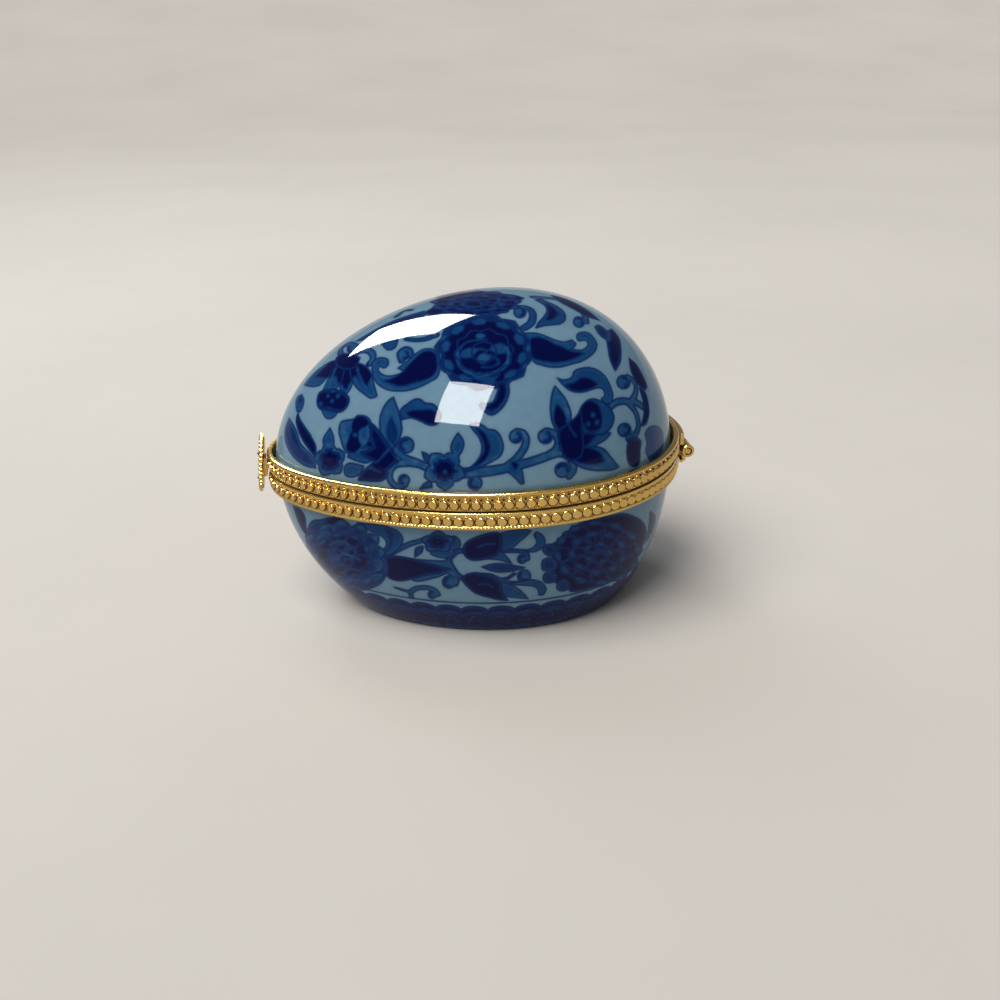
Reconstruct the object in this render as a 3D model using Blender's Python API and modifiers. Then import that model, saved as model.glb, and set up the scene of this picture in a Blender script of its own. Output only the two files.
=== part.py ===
"""Hinged porcelain egg box, lying on its side, with two gilt brass rims, a hinge and a clasp.

Frame: metres, +Z up, +X towards the hinge at the blunt end, -X towards the clasp at the pointed end.
The origin is the middle of the flat underside, below the middle of the porcelain's length.
"""
import bmesh
import bpy
from math import cos, hypot, pi, radians, sin
from mathutils import Matrix, Vector

# Egg, as a warped sphere
EGG_LENGTH = 0.0700
EGG_WIDTH = 0.0520
PLAN_TAPER = 0.18
PLAN_FLATNESS = -0.05
LID_RISE = 0.0285
LID_TAPER = 0.12
LID_FULLNESS = 0.06
BOWL_DEPTH = 0.0369
BOWL_TAPER = 0.12
BOWL_FULLNESS = 0.06
SEAM_HEIGHT = 0.0263
WALL = 0.0025
BASE_ROUND = 0.0010

# Brass rims, measured outwards from the porcelain's outline and away from the parting plane
RIM_GAP = 0.0004
RIM_THICKNESS = 0.0009
RIM_RELIEF = 0.0002
RIM_HEIGHT = 0.0030
FLANGE_THICKNESS = 0.0008
LIP_HEIGHT = 0.00075
LIP_ROUND = 0.00025
LID_STRIP = 0.0004
LID_GROOVE = 0.0003
FOOT_HEIGHT = 0.00055
BOWL_STRIP = 0.0007
BOWL_GROOVE = 0.0002

# Hinge
BARREL_LENGTH = 0.0105
BARREL_RADIUS = 0.00115
CENTRE_KNUCKLE = 0.0035
AXIS_DROP = 0.0010
PIN_RADIUS = 0.00050
LEAF_THICKNESS = 0.00060
LEAF_INSET = 0.00055
LID_LEAF_HEIGHT = 0.0022
LEAF_BRIDGE = 0.00045
EAR_MARGIN = 0.00015

# Clasp
CLASP_HEIGHT = 0.0105
CLASP_WIDTH = 0.0076
CLASP_THICKNESS = 0.0009
CLASP_RISE = 0.00095
CLASP_STAND_OFF = 0.0007
CLASP_LOBES = 12
CLASP_LOBE_DEPTH = 0.05
BOSS_WIDTH = 0.0042
BOSS_HEIGHT = 0.0058
BOSS_RELIEF = 0.00045
TONGUE_WIDTH = 0.0024
TONGUE_ABOVE = 0.0022
TONGUE_BELOW = 0.0012

# Fits
CLEARANCE = 0.0003
SEAM_GAP = 0.0003
OVERLAP = 0.0002

# Fineness of the faceted shapes
SHELL_SIDES = 48
SHELL_RINGS = 24
RIM_SIDES = 60
BEAD_STEPS = 4
BARREL_SIDES = 20
LEAF_STEPS = 6
BASE_ROUND_STEPS = 2

# Derived sizes and places
RIM_REACH = RIM_GAP + RIM_THICKNESS
LID_EDGE = SEAM_HEIGHT + SEAM_GAP / 2 + FLANGE_THICKNESS + CLEARANCE
BOWL_EDGE = SEAM_HEIGHT - SEAM_GAP / 2 - FLANGE_THICKNESS - CLEARANCE
LEAF_INNER = RIM_REACH + CLEARANCE + EAR_MARGIN
AXIS_X = EGG_LENGTH / 2 + RIM_REACH + CLEARANCE + BARREL_RADIUS
AXIS_Z = SEAM_HEIGHT - AXIS_DROP
KNUCKLE_ROOM = BARREL_RADIUS + CLEARANCE
CLASP_BACK_X = -(EGG_LENGTH / 2 + RIM_REACH + CLASP_STAND_OFF)
TOTAL_HEIGHT = SEAM_HEIGHT + 1.2 * LID_RISE


def clear_scene():
    """Removes what a new Blender file starts with."""
    for item in list(bpy.data.objects):
        bpy.data.objects.remove(item, do_unlink=True)


def new_collection(name):
    """A collection in the scene."""
    collection = bpy.data.collections.new(name)
    bpy.context.scene.collection.children.link(collection)
    return collection


def principled(name, colour, roughness, metallic):
    """A material with a plain Principled shader."""
    material = bpy.data.materials.new(name)
    material.use_nodes = True
    shader = material.node_tree.nodes["Principled BSDF"]
    shader.inputs["Base Color"].default_value = (*colour, 1.0)
    shader.inputs["Roughness"].default_value = roughness
    shader.inputs["Metallic"].default_value = metallic
    return material


def add_object(name, data, collection, material=None):
    """Links a mesh or curve as an object."""
    item = bpy.data.objects.new(name, data)
    collection.objects.link(item)
    if material:
        data.materials.append(material)
    return item


def as_guide(item):
    """Marks an object as a cutter or guide, which is no part of the model."""
    item.hide_render = True
    item.display_type = "WIRE"
    return item


def mesh_from(bm, name):
    """Turns a bmesh into mesh data with outward normals."""
    bmesh.ops.recalc_face_normals(bm, faces=bm.faces)
    mesh = bpy.data.meshes.new(name)
    bm.to_mesh(mesh)
    bm.free()
    return mesh


def smooth(item, angle=radians(35)):
    """Shades a round piece smooth and keeps its real edges."""
    item.data.shade_smooth()
    item.data.set_sharp_from_angle(angle=angle)


def add_boolean(item, operand, operation):
    """Cuts or joins with the exact solver."""
    modifier = item.modifiers.new(operand.name, "BOOLEAN")
    modifier.object = operand
    modifier.operation = operation
    modifier.solver = "EXACT"


def box_guide(name, low, high, collection):
    """A box between two corners, used as a cutter or to join."""
    bm = bmesh.new()
    bmesh.ops.create_cube(bm, size=1.0)
    size = Vector(high) - Vector(low)
    centre = (Vector(high) + Vector(low)) / 2
    bm.transform(Matrix.Translation(centre) @ Matrix.Diagonal((*size, 1.0)))
    return as_guide(add_object(name, mesh_from(bm, name), collection))


def cylinder_mesh(name, radius, length, centre):
    """A cylinder along Y."""
    bm = bmesh.new()
    bmesh.ops.create_cone(bm, cap_ends=True, segments=BARREL_SIDES, radius1=radius, radius2=radius, depth=length)
    bm.transform(Matrix.Translation(centre) @ Matrix.Rotation(pi / 2, 4, "X"))
    return mesh_from(bm, name)


def plan_swell(x):
    """How far the plan swells towards the blunt end; x runs from -1 to 1 along the egg."""
    return 1 + PLAN_TAPER * x + PLAN_FLATNESS * x * x


def egg_point(unit):
    """Moves a point of the unit sphere onto the egg."""
    if unit.z >= 0:
        rise = LID_RISE * (1 + LID_TAPER * unit.x + LID_FULLNESS * unit.x ** 2)
    else:
        rise = BOWL_DEPTH * (1 + BOWL_TAPER * unit.x + BOWL_FULLNESS * unit.x ** 2)
    y = EGG_WIDTH / 2 * unit.y * plan_swell(unit.x)
    return Vector((EGG_LENGTH / 2 * unit.x, y, SEAM_HEIGHT + rise * unit.z))


def outline_point(angle, offset=0.0):
    """Point of the egg's outline at the parting plane, moved outwards along its normal."""
    c = cos(angle)
    s = sin(angle)
    x = EGG_LENGTH / 2 * c
    y = EGG_WIDTH / 2 * s * plan_swell(c)
    slope_x = -EGG_LENGTH / 2 * s
    slope_y = EGG_WIDTH / 2 * (c * plan_swell(c) - s * s * (PLAN_TAPER + 2 * PLAN_FLATNESS * c))
    length = hypot(slope_x, slope_y)
    return x + offset * slope_y / length, y - offset * slope_x / length


def egg_surface(keep_above, cut_height):
    """The egg's open surface on one side of a level cut."""
    bm = bmesh.new()
    bmesh.ops.create_uvsphere(bm, u_segments=SHELL_SIDES, v_segments=SHELL_RINGS, radius=1.0)
    for vertex in bm.verts:
        vertex.co = egg_point(vertex.co)
    trim_surface(bm, keep_above, cut_height)
    return bm


def trim_surface(bm, keep_above, height):
    """Removes what lies below, or above, a level plane."""
    bmesh.ops.bisect_plane(
        bm,
        geom=bm.verts[:] + bm.edges[:] + bm.faces[:],
        plane_co=(0, 0, height),
        plane_no=(0, 0, 1),
        clear_inner=keep_above,
        clear_outer=not keep_above,
    )


def thicken(item):
    """Gives an open surface its wall, inwards."""
    modifier = item.modifiers.new("Wall", "SOLIDIFY")
    modifier.thickness = WALL
    modifier.offset = -1
    modifier.use_even_offset = True


def porcelain_lid(collection, guides, material):
    """The upper shell, cut level above the lid rim's flange."""
    surface = egg_surface(True, LID_EDGE - WALL)
    lid = add_object("porcelain_lid", mesh_from(surface, "porcelain_lid"), collection, material)
    thicken(lid)
    low = (-EGG_LENGTH, -EGG_WIDTH, 0)
    high = (EGG_LENGTH, EGG_WIDTH, LID_EDGE)
    add_boolean(lid, box_guide("lid_edge_cut", low, high, guides), "DIFFERENCE")
    smooth(lid)
    return lid


def porcelain_bowl(collection, guides, material):
    """The lower shell, with a flat underside and a level top edge."""
    surface = egg_surface(False, BOWL_EDGE + WALL)
    trim_surface(surface, True, 0.0)
    lowest = [edge for edge in surface.edges if edge.is_boundary and edge.verts[0].co.z < SEAM_HEIGHT / 2]
    bmesh.ops.edgeloop_fill(surface, edges=lowest)
    bowl = add_object("porcelain_bowl", mesh_from(surface, "porcelain_bowl"), collection, material)
    flip_if_inside_out(bowl.data)
    rounding = bowl.modifiers.new("Base round", "BEVEL")
    rounding.width = BASE_ROUND
    rounding.segments = BASE_ROUND_STEPS
    rounding.limit_method = "ANGLE"
    rounding.angle_limit = radians(30)
    thicken(bowl)
    low = (-EGG_LENGTH, -EGG_WIDTH, BOWL_EDGE)
    high = (EGG_LENGTH, EGG_WIDTH, TOTAL_HEIGHT)
    add_boolean(bowl, box_guide("bowl_edge_cut", low, high, guides), "DIFFERENCE")
    smooth(bowl)
    return bowl


def flip_if_inside_out(mesh):
    """Turns an open bowl's faces outwards, as seen from its flat base."""
    base = min(mesh.polygons, key=lambda face: face.center.z)
    if base.normal.z > 0:
        mesh.flip_normals()


def bead_row(start, end):
    """Half-round moulding that carries a row of beads: outward and away-from-seam distances."""
    ground = RIM_REACH - RIM_RELIEF
    points = []
    for step in range(BEAD_STEPS + 1):
        turn = pi * step / BEAD_STEPS
        rise = (end - start) / 2 * (1 - cos(turn))
        points.append((ground + RIM_RELIEF * sin(turn), start + rise))
    return points


def lid_rim_section():
    """Section of the lid rim: flange, bead row and rolled lip."""
    ground = RIM_REACH - RIM_RELIEF
    seam = SEAM_GAP / 2
    lip = RIM_HEIGHT - LIP_HEIGHT
    return [
        (-WALL, seam),
        (ground, seam),
        *bead_row(seam + LID_STRIP, lip - LID_GROOVE),
        (ground, lip),
        (RIM_REACH, lip + LIP_ROUND),
        (RIM_REACH, RIM_HEIGHT - LIP_ROUND),
        (RIM_REACH - LIP_ROUND, RIM_HEIGHT),
        (RIM_GAP + LIP_ROUND, RIM_HEIGHT),
        (RIM_GAP, RIM_HEIGHT - LIP_ROUND),
        (RIM_GAP, seam + FLANGE_THICKNESS),
        (-WALL, seam + FLANGE_THICKNESS),
    ]


def bowl_rim_section():
    """Section of the bowl rim: flange, plain strip, bead row and milled foot."""
    ground = RIM_REACH - RIM_RELIEF
    seam = SEAM_GAP / 2
    foot = RIM_HEIGHT - FOOT_HEIGHT
    return [
        (-WALL, seam),
        (ground, seam),
        *bead_row(seam + BOWL_STRIP, foot - BOWL_GROOVE),
        (ground, foot),
        (RIM_REACH, foot + FOOT_HEIGHT / 4),
        (RIM_REACH, RIM_HEIGHT - FOOT_HEIGHT / 4),
        (ground, RIM_HEIGHT),
        (RIM_GAP, RIM_HEIGHT),
        (RIM_GAP, seam + FLANGE_THICKNESS),
        (-WALL, seam + FLANGE_THICKNESS),
    ]


def section_curve(name, section, upward, guides):
    """A closed flat curve used as the bevel shape of a rim."""
    side = 1 if upward else -1
    points = [(outward, side * away) for outward, away in section]
    if upward:
        points.reverse()
    curve = bpy.data.curves.new(name, "CURVE")
    curve.dimensions = "2D"
    fill_spline(curve.splines.new("POLY"), [(x, y, 0) for x, y in points])
    return as_guide(add_object(name, curve, guides))


def fill_spline(spline, points):
    """Writes a closed poly spline."""
    spline.points.add(len(points) - 1)
    for target, place in zip(spline.points, points):
        target.co = (*place, 1)
    spline.use_cyclic_u = True


def brass_rim(name, section, upward, collection, guides, material):
    """A section swept round the porcelain's outline."""
    curve = bpy.data.curves.new(name, "CURVE")
    curve.dimensions = "3D"
    curve.twist_mode = "Z_UP"
    turns = [2 * pi * step / RIM_SIDES for step in range(RIM_SIDES)]
    points = [(*outline_point(turn), SEAM_HEIGHT) for turn in turns]
    fill_spline(curve.splines.new("POLY"), points)
    curve.bevel_mode = "OBJECT"
    curve.bevel_object = section_curve(name + "_section", section, upward, guides)
    return add_object(name, curve, collection, material)


def leaf_plate(name, bottom, top, collection, material):
    """A thin plate bent round the blunt end of the rims, about as long as the barrel."""
    reach = (BARREL_LENGTH / 2 - LEAF_INSET) / (EGG_WIDTH / 2 * plan_swell(1))
    steps = [reach * (2 * step / LEAF_STEPS - 1) for step in range(LEAF_STEPS + 1)]
    outer = [outline_point(turn, LEAF_INNER + LEAF_THICKNESS) for turn in steps]
    inner = [outline_point(turn, LEAF_INNER) for turn in reversed(steps)]
    curve = bpy.data.curves.new(name, "CURVE")
    curve.dimensions = "2D"
    curve.fill_mode = "BOTH"
    curve.extrude = (top - bottom) / 2
    fill_spline(curve.splines.new("POLY"), [(x, y, 0) for x, y in outer + inner])
    flat = add_object(name + "_outline", curve, collection)
    flat.location.z = (top + bottom) / 2
    return curve_to_mesh(flat, name, collection, material)


def curve_to_mesh(item, name, collection, material):
    """Replaces a filled curve object by its welded mesh."""
    bpy.context.view_layer.update()
    evaluated = item.evaluated_get(bpy.context.evaluated_depsgraph_get())
    mesh = bpy.data.meshes.new_from_object(evaluated)
    bm = bmesh.new()
    bm.from_mesh(mesh)
    bmesh.ops.remove_doubles(bm, verts=bm.verts, dist=1e-6)
    bmesh.ops.recalc_face_normals(bm, faces=bm.faces)
    bm.to_mesh(mesh)
    bm.free()
    mesh.name = name
    mesh.materials.clear()
    result = add_object(name, mesh, collection, material)
    result.matrix_world = item.matrix_world
    bpy.data.objects.remove(item, do_unlink=True)
    return result


def knuckle_guide(name, centre_y, length, guides):
    """One tube of the hinge barrel, before its bore is cut."""
    mesh = cylinder_mesh(name, BARREL_RADIUS, length, (AXIS_X, centre_y, AXIS_Z))
    return as_guide(add_object(name, mesh, guides))


def bore_guide(name, guides):
    """The hole for the pin through the whole barrel."""
    mesh = cylinder_mesh(name, PIN_RADIUS + CLEARANCE, 2 * BARREL_LENGTH, (AXIS_X, 0, AXIS_Z))
    return as_guide(add_object(name, mesh, guides))


def hinge_leaf_lid(collection, guides, material):
    """Leaf on the lid rim with the middle knuckle."""
    bottom = AXIS_Z + KNUCKLE_ROOM
    leaf = leaf_plate("hinge_leaf_lid", bottom, bottom + LID_LEAF_HEIGHT, collection, material)
    face = EGG_LENGTH / 2 + LEAF_INNER
    half = CENTRE_KNUCKLE / 2 - EAR_MARGIN
    ear_low = (face + EAR_MARGIN, -half, AXIS_Z)
    ear_high = (face + EAR_MARGIN + LEAF_THICKNESS, half, bottom + 2 * LEAF_THICKNESS)
    add_boolean(leaf, box_guide("lid_ear", ear_low, ear_high, guides), "UNION")
    add_boolean(leaf, knuckle_guide("middle_knuckle", 0, CENTRE_KNUCKLE, guides), "UNION")
    add_boolean(leaf, bore_guide("lid_leaf_bore", guides), "DIFFERENCE")
    smooth(leaf)
    return leaf


def hinge_leaf_bowl(collection, guides, material):
    """Leaf on the bowl rim with the two outer knuckles and a notch for the middle one."""
    notch_bottom = AXIS_Z - KNUCKLE_ROOM
    top = AXIS_Z + BARREL_RADIUS / 2
    leaf = leaf_plate("hinge_leaf_bowl", notch_bottom - LEAF_BRIDGE, top, collection, material)
    notch_half = CENTRE_KNUCKLE / 2 + CLEARANCE
    low = (EGG_LENGTH / 2, -notch_half, notch_bottom)
    high = (AXIS_X + BARREL_RADIUS, notch_half, SEAM_HEIGHT)
    add_boolean(leaf, box_guide("leaf_notch", low, high, guides), "DIFFERENCE")
    length = BARREL_LENGTH / 2 - notch_half
    for name, side in (("near_knuckle", -1), ("far_knuckle", 1)):
        centre = side * (notch_half + length / 2)
        add_boolean(leaf, knuckle_guide(name, centre, length, guides), "UNION")
    add_boolean(leaf, bore_guide("bowl_leaf_bore", guides), "DIFFERENCE")
    smooth(leaf)
    return leaf


def hinge_pin(collection, material):
    """Pin through the three knuckles, ending flush with the barrel."""
    mesh = cylinder_mesh("hinge_pin", PIN_RADIUS, BARREL_LENGTH, (AXIS_X, 0, AXIS_Z))
    pin = add_object("hinge_pin", mesh, collection, material)
    smooth(pin)
    return pin


def clasp_outline():
    """Upright oval with scalloped edge, as across and up distances from its middle."""
    points = []
    count = 4 * CLASP_LOBES
    for step in range(count):
        turn = 2 * pi * step / count
        lobe = 1 - CLASP_LOBE_DEPTH * (1 - cos(CLASP_LOBES * turn)) / 2
        points.append((CLASP_WIDTH / 2 * lobe * sin(turn), CLASP_HEIGHT / 2 * lobe * cos(turn)))
    return points


def clasp_plate(collection, guides, material):
    """Ornamental plate on the lid rim, with the tongue behind it that crosses the seam."""
    curve = bpy.data.curves.new("clasp_plate", "CURVE")
    curve.dimensions = "2D"
    curve.fill_mode = "BOTH"
    curve.extrude = CLASP_THICKNESS / 2
    fill_spline(curve.splines.new("POLY"), [(x, y, 0) for x, y in clasp_outline()])
    flat = add_object("clasp_outline", curve, collection)
    middle = Vector((CLASP_BACK_X - CLASP_THICKNESS / 2, 0, SEAM_HEIGHT + CLASP_RISE))
    upright = Matrix(((0, 0, 1, 0), (1, 0, 0, 0), (0, 1, 0, 0), (0, 0, 0, 1)))
    flat.matrix_world = Matrix.Translation(middle) @ upright
    plate = curve_to_mesh(flat, "clasp_plate", collection, material)
    apply_placement(plate)
    add_boolean(plate, boss_guide(middle, guides), "UNION")
    low = (CLASP_BACK_X - OVERLAP, -TONGUE_WIDTH / 2, SEAM_HEIGHT - TONGUE_BELOW)
    high = (-(EGG_LENGTH / 2 + RIM_REACH + CLEARANCE), TONGUE_WIDTH / 2, SEAM_HEIGHT + TONGUE_ABOVE)
    add_boolean(plate, box_guide("clasp_tongue", low, high, guides), "UNION")
    smooth(plate)
    return plate


def apply_placement(item):
    """Moves an object's place into its mesh."""
    item.data.transform(item.matrix_world)
    item.matrix_world = Matrix.Identity(4)


def boss_guide(middle, guides):
    """Raised oval on the clasp plate's front."""
    bm = bmesh.new()
    bmesh.ops.create_uvsphere(bm, u_segments=16, v_segments=8, radius=1.0)
    front = middle - Vector((CLASP_THICKNESS / 2 - OVERLAP, 0, 0))
    size = (BOSS_RELIEF + OVERLAP, BOSS_WIDTH / 2, BOSS_HEIGHT / 2, 1)
    bm.transform(Matrix.Translation(front) @ Matrix.Diagonal(size))
    return as_guide(add_object("clasp_boss", mesh_from(bm, "clasp_boss"), guides))


def hang_on_hinge(items, collection):
    """Parents the moving pieces to an empty on the hinge axis, where they are."""
    axis = bpy.data.objects.new("lid_hinge_axis", None)
    axis.location = (AXIS_X, 0, AXIS_Z)
    collection.objects.link(axis)
    bpy.context.view_layer.update()
    for item in items:
        item.parent = axis
        item.matrix_parent_inverse = axis.matrix_world.inverted()


def main():
    """Builds the box."""
    clear_scene()
    box = new_collection("egg_trinket_box")
    guides = new_collection("egg_trinket_box_guides")
    porcelain = principled("glazed_porcelain", (0.28, 0.38, 0.46), 0.08, 0.0)
    brass = principled("gilt_brass", (0.72, 0.50, 0.16), 0.28, 1.0)
    porcelain_bowl(box, guides, porcelain)
    brass_rim("bowl_rim", bowl_rim_section(), False, box, guides, brass)
    hinge_leaf_bowl(box, guides, brass)
    hinge_pin(box, brass)
    moving = [
        porcelain_lid(box, guides, porcelain),
        brass_rim("lid_rim", lid_rim_section(), True, box, guides, brass),
        hinge_leaf_lid(box, guides, brass),
        clasp_plate(box, guides, brass),
    ]
    hang_on_hinge(moving, box)


main()
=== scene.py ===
"""Looks of a hinged porcelain egg box: painted glaze, beaded gilt rims, hinge, clasp and stage."""

from math import cos, pi, radians, sin, tan

import bmesh
import bpy
import numpy as np
from bpy.props import FloatProperty, FloatVectorProperty, IntProperty, PointerProperty
from bpy.types import Operator, Panel, PropertyGroup
from mathutils import Matrix, Quaternion, Vector


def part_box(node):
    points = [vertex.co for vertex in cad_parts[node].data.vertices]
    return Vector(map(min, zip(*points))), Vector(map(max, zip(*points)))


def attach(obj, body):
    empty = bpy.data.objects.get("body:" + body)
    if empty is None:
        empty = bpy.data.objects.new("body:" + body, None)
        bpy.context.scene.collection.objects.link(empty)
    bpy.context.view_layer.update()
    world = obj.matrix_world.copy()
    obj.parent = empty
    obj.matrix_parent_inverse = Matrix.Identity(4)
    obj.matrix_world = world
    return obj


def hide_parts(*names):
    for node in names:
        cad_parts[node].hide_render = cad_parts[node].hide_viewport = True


bl_info = {
    "name": "Porcelain egg box",
    "version": (1, 0, 0),
    "blender": (4, 5, 0),
    "location": "View3D > Sidebar > Egg box",
    "description": "Painted porcelain, gilt rims, hinge, clasp and stage of a hinged egg box",
    "category": "Object",
}

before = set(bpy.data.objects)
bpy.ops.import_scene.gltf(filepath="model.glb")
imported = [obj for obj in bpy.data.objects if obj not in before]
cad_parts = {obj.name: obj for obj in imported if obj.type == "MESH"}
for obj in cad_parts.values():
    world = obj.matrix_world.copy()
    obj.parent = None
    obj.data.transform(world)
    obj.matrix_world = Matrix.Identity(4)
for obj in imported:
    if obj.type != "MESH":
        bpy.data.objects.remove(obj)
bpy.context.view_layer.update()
MM = 0.001

# Egg, as a warped sphere, in metres
EGG_LENGTH = 0.0700
EGG_WIDTH = 0.0520
PLAN_TAPER = 0.18
PLAN_FLATNESS = -0.05
LID_RISE = 0.0285
LID_TAPER = 0.12
LID_FULLNESS = 0.06
BOWL_DEPTH = 0.0369
BOWL_TAPER = 0.12
BOWL_FULLNESS = 0.06
WALL = 0.0025
BASE_ROUND = 0.0012
INNER_ROUND = 0.0040

# Levels read from the frame
LID_RIM_LOW, LID_RIM_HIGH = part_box("lid_rim")
BOWL_RIM_LOW, BOWL_RIM_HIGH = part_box("bowl_rim")
SEAM = (LID_RIM_LOW.z + BOWL_RIM_HIGH.z) / 2
LID_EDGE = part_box("porcelain_lid")[0].z
BOWL_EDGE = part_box("porcelain_bowl")[1].z
RIM_REACH = (LID_RIM_HIGH.x - LID_RIM_LOW.x - EGG_LENGTH) / 2
SEAM_HALF_GAP = LID_RIM_LOW.z - SEAM
RIM_HEIGHT = LID_RIM_HIGH.z - SEAM

# The photograph's camera, found by fitting the egg's outline, its rims, the hinge and the clasp
IMAGE_SIZE = 1000
EYE = Vector((-0.01765, -0.17967, 0.09528))
VIEW_PITCH = radians(23.526)
VIEW_YAW = radians(6.95)
VIEW_ROLL = radians(-1.80)
FOCAL_PIXELS = 1079.0
SENSOR_WIDTH = 36.0
SIGHT_START = 0.12
SIGHT_END = 0.26
SIGHT_STEPS = 281

# Tones of the painting, from its palest to its darkest blue
PALE = 0.05
WASH = 0.28
SPOT_TONE = 0.46
MID = 0.48
DEEP = 0.72
DARKEST = 0.95
NAVY = 1.0

# Brushwork, in mm on the surface
LAYERS = 5
FAR_FIELD = 1.5
FACING = 0.15
COVER = 0.2
TINT_EDGE = 0.5
LEAF_RIM = 0.15
LEAF_SOFTNESS = 0.55
STROKE_RUN = 12
HOOK_REACH = 0.66
HOOK_WIDTH = 0.34
HOOK_SWEEP = np.radians(np.linspace(-85, 85, 9))
RING_VEIN = 0.38
TOP_MIDDLE = -6.0
TIP_ANGLE = radians(75)
PATH_PIECE = 2.5

# A rosette's petal: places along it, its half-widths there, and the lighter part at its tip
PETAL_SHARES = np.array([0, 0.22, 0.48, 0.70, 0.88, 1.0])
PETAL_WIDTHS = np.array([0.55, 0.86, 1.0, 0.84, 0.42, 0.0])
PETAL_SIDES = slice(0, 11)
TIP_START = 0.62
TIP_MARGIN = 0.02
TIP_WIDTH = 0.5


def view_axes():
    """Right, up and forward of the photograph's camera in the box's frame."""
    def turned(x, y, z):
        return Vector((cos(VIEW_YAW) * x + sin(VIEW_YAW) * y, cos(VIEW_YAW) * y - sin(VIEW_YAW) * x, z))

    level = turned(1, 0, 0)
    upward = turned(0, sin(VIEW_PITCH), cos(VIEW_PITCH))
    right = cos(VIEW_ROLL) * level + sin(VIEW_ROLL) * upward
    up = cos(VIEW_ROLL) * upward - sin(VIEW_ROLL) * level
    return right, up, up.cross(right)


def plan_swell(x):
    """How far the plan swells towards the blunt end; x runs from -1 to 1 along the egg."""
    return 1 + PLAN_TAPER * x + PLAN_FLATNESS * x * x


def rise_at(x, upper):
    """Height of the lid, or depth of the bowl, over the parting plane's middle line."""
    lid = LID_RISE * (1 + LID_TAPER * x + LID_FULLNESS * x * x)
    bowl = BOWL_DEPTH * (1 + BOWL_TAPER * x + BOWL_FULLNESS * x * x)
    return np.where(upper, lid, bowl)


def egg_from_unit(unit, inset=0.0):
    """Moves points of the unit sphere onto the egg, or onto its inner wall."""
    x, y, z = unit[..., 0], unit[..., 1], unit[..., 2]
    half_width = EGG_WIDTH / 2 * plan_swell(x) - inset
    rise = rise_at(x, z > 0) - inset
    return np.stack([(EGG_LENGTH / 2 - inset) * x, half_width * y, SEAM + rise * z], -1)


def unit_from_egg(points):
    """Places relative to the egg: length 1 on its surface."""
    x = points[..., 0] / (EGG_LENGTH / 2)
    y = points[..., 1] / (EGG_WIDTH / 2 * plan_swell(x))
    z = (points[..., 2] - SEAM) / rise_at(x, points[..., 2] > SEAM)
    return np.stack([x, y, z], -1)


def egg_level(points):
    """Below 0 inside the egg, above 0 outside."""
    return (unit_from_egg(points) ** 2).sum(-1) - 1


def egg_normals(points):
    """Outward directions of the egg's surface."""
    step = 1e-5
    slope = [egg_level(points + step * axis) - egg_level(points - step * axis) for axis in np.eye(3)]
    slope = np.stack(slope, -1)
    return slope / np.linalg.norm(slope, axis=-1, keepdims=True)


def pixel_rays(pixels):
    """Directions from the eye through points of the photograph."""
    right, up, forward = [np.array(axis) for axis in view_axes()]
    across = (np.asarray(pixels, float) - IMAGE_SIZE / 2) / FOCAL_PIXELS
    rays = forward + across[:, :1] * right - across[:, 1:] * up
    return rays / np.linalg.norm(rays, axis=1, keepdims=True)


def on_egg(pixels):
    """Where the lines of sight through points of the photograph meet the egg, or pass nearest to it."""
    rays = pixel_rays(pixels)
    eye = np.array(EYE)
    reach = np.linspace(SIGHT_START, SIGHT_END, SIGHT_STEPS)
    levels = egg_level(eye + rays[:, None] * reach[None, :, None])
    hit = levels < 0
    first = np.where(hit.any(1), hit.argmax(1), levels.argmin(1))
    near = reach[np.maximum(first - 1, 0)]
    far = reach[first]
    for _ in range(24):
        middle = (near + far) / 2
        inside = egg_level(eye + rays * middle[:, None]) < 0
        far = np.where(inside, middle, far)
        near = np.where(inside, near, middle)
    unit = unit_from_egg(eye + rays * far[:, None])
    return egg_from_unit(unit / np.linalg.norm(unit, axis=1, keepdims=True))


def outline_places(share, offset=0.0):
    """Points and outward directions along the outline at the parting plane; share is of its length."""
    turns = np.linspace(0, 2 * pi, 2881)
    c = np.cos(turns)
    s = np.sin(turns)
    line = np.stack([EGG_LENGTH / 2 * c, EGG_WIDTH / 2 * s * plan_swell(c)], 1)
    swell_slope = PLAN_TAPER + 2 * PLAN_FLATNESS * c
    slope_across = EGG_WIDTH / 2 * (c * plan_swell(c) - s * s * swell_slope)
    slope = np.stack([-EGG_LENGTH / 2 * s, slope_across], 1)
    outward = np.stack([slope[:, 1], -slope[:, 0]], 1)
    outward /= np.linalg.norm(outward, axis=1, keepdims=True)
    steps = np.linalg.norm(np.diff(line, axis=0), axis=1)
    length = np.concatenate([[0], np.cumsum(steps)])
    at = np.asarray(share, float) % 1 * length[-1]
    place = np.stack([np.interp(at, length, line[:, k] + offset * outward[:, k]) for k in (0, 1)], -1)
    direction = np.stack([np.interp(at, length, outward[:, k]) for k in (0, 1)], -1)
    return place, direction / np.linalg.norm(direction, axis=-1, keepdims=True)


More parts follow.
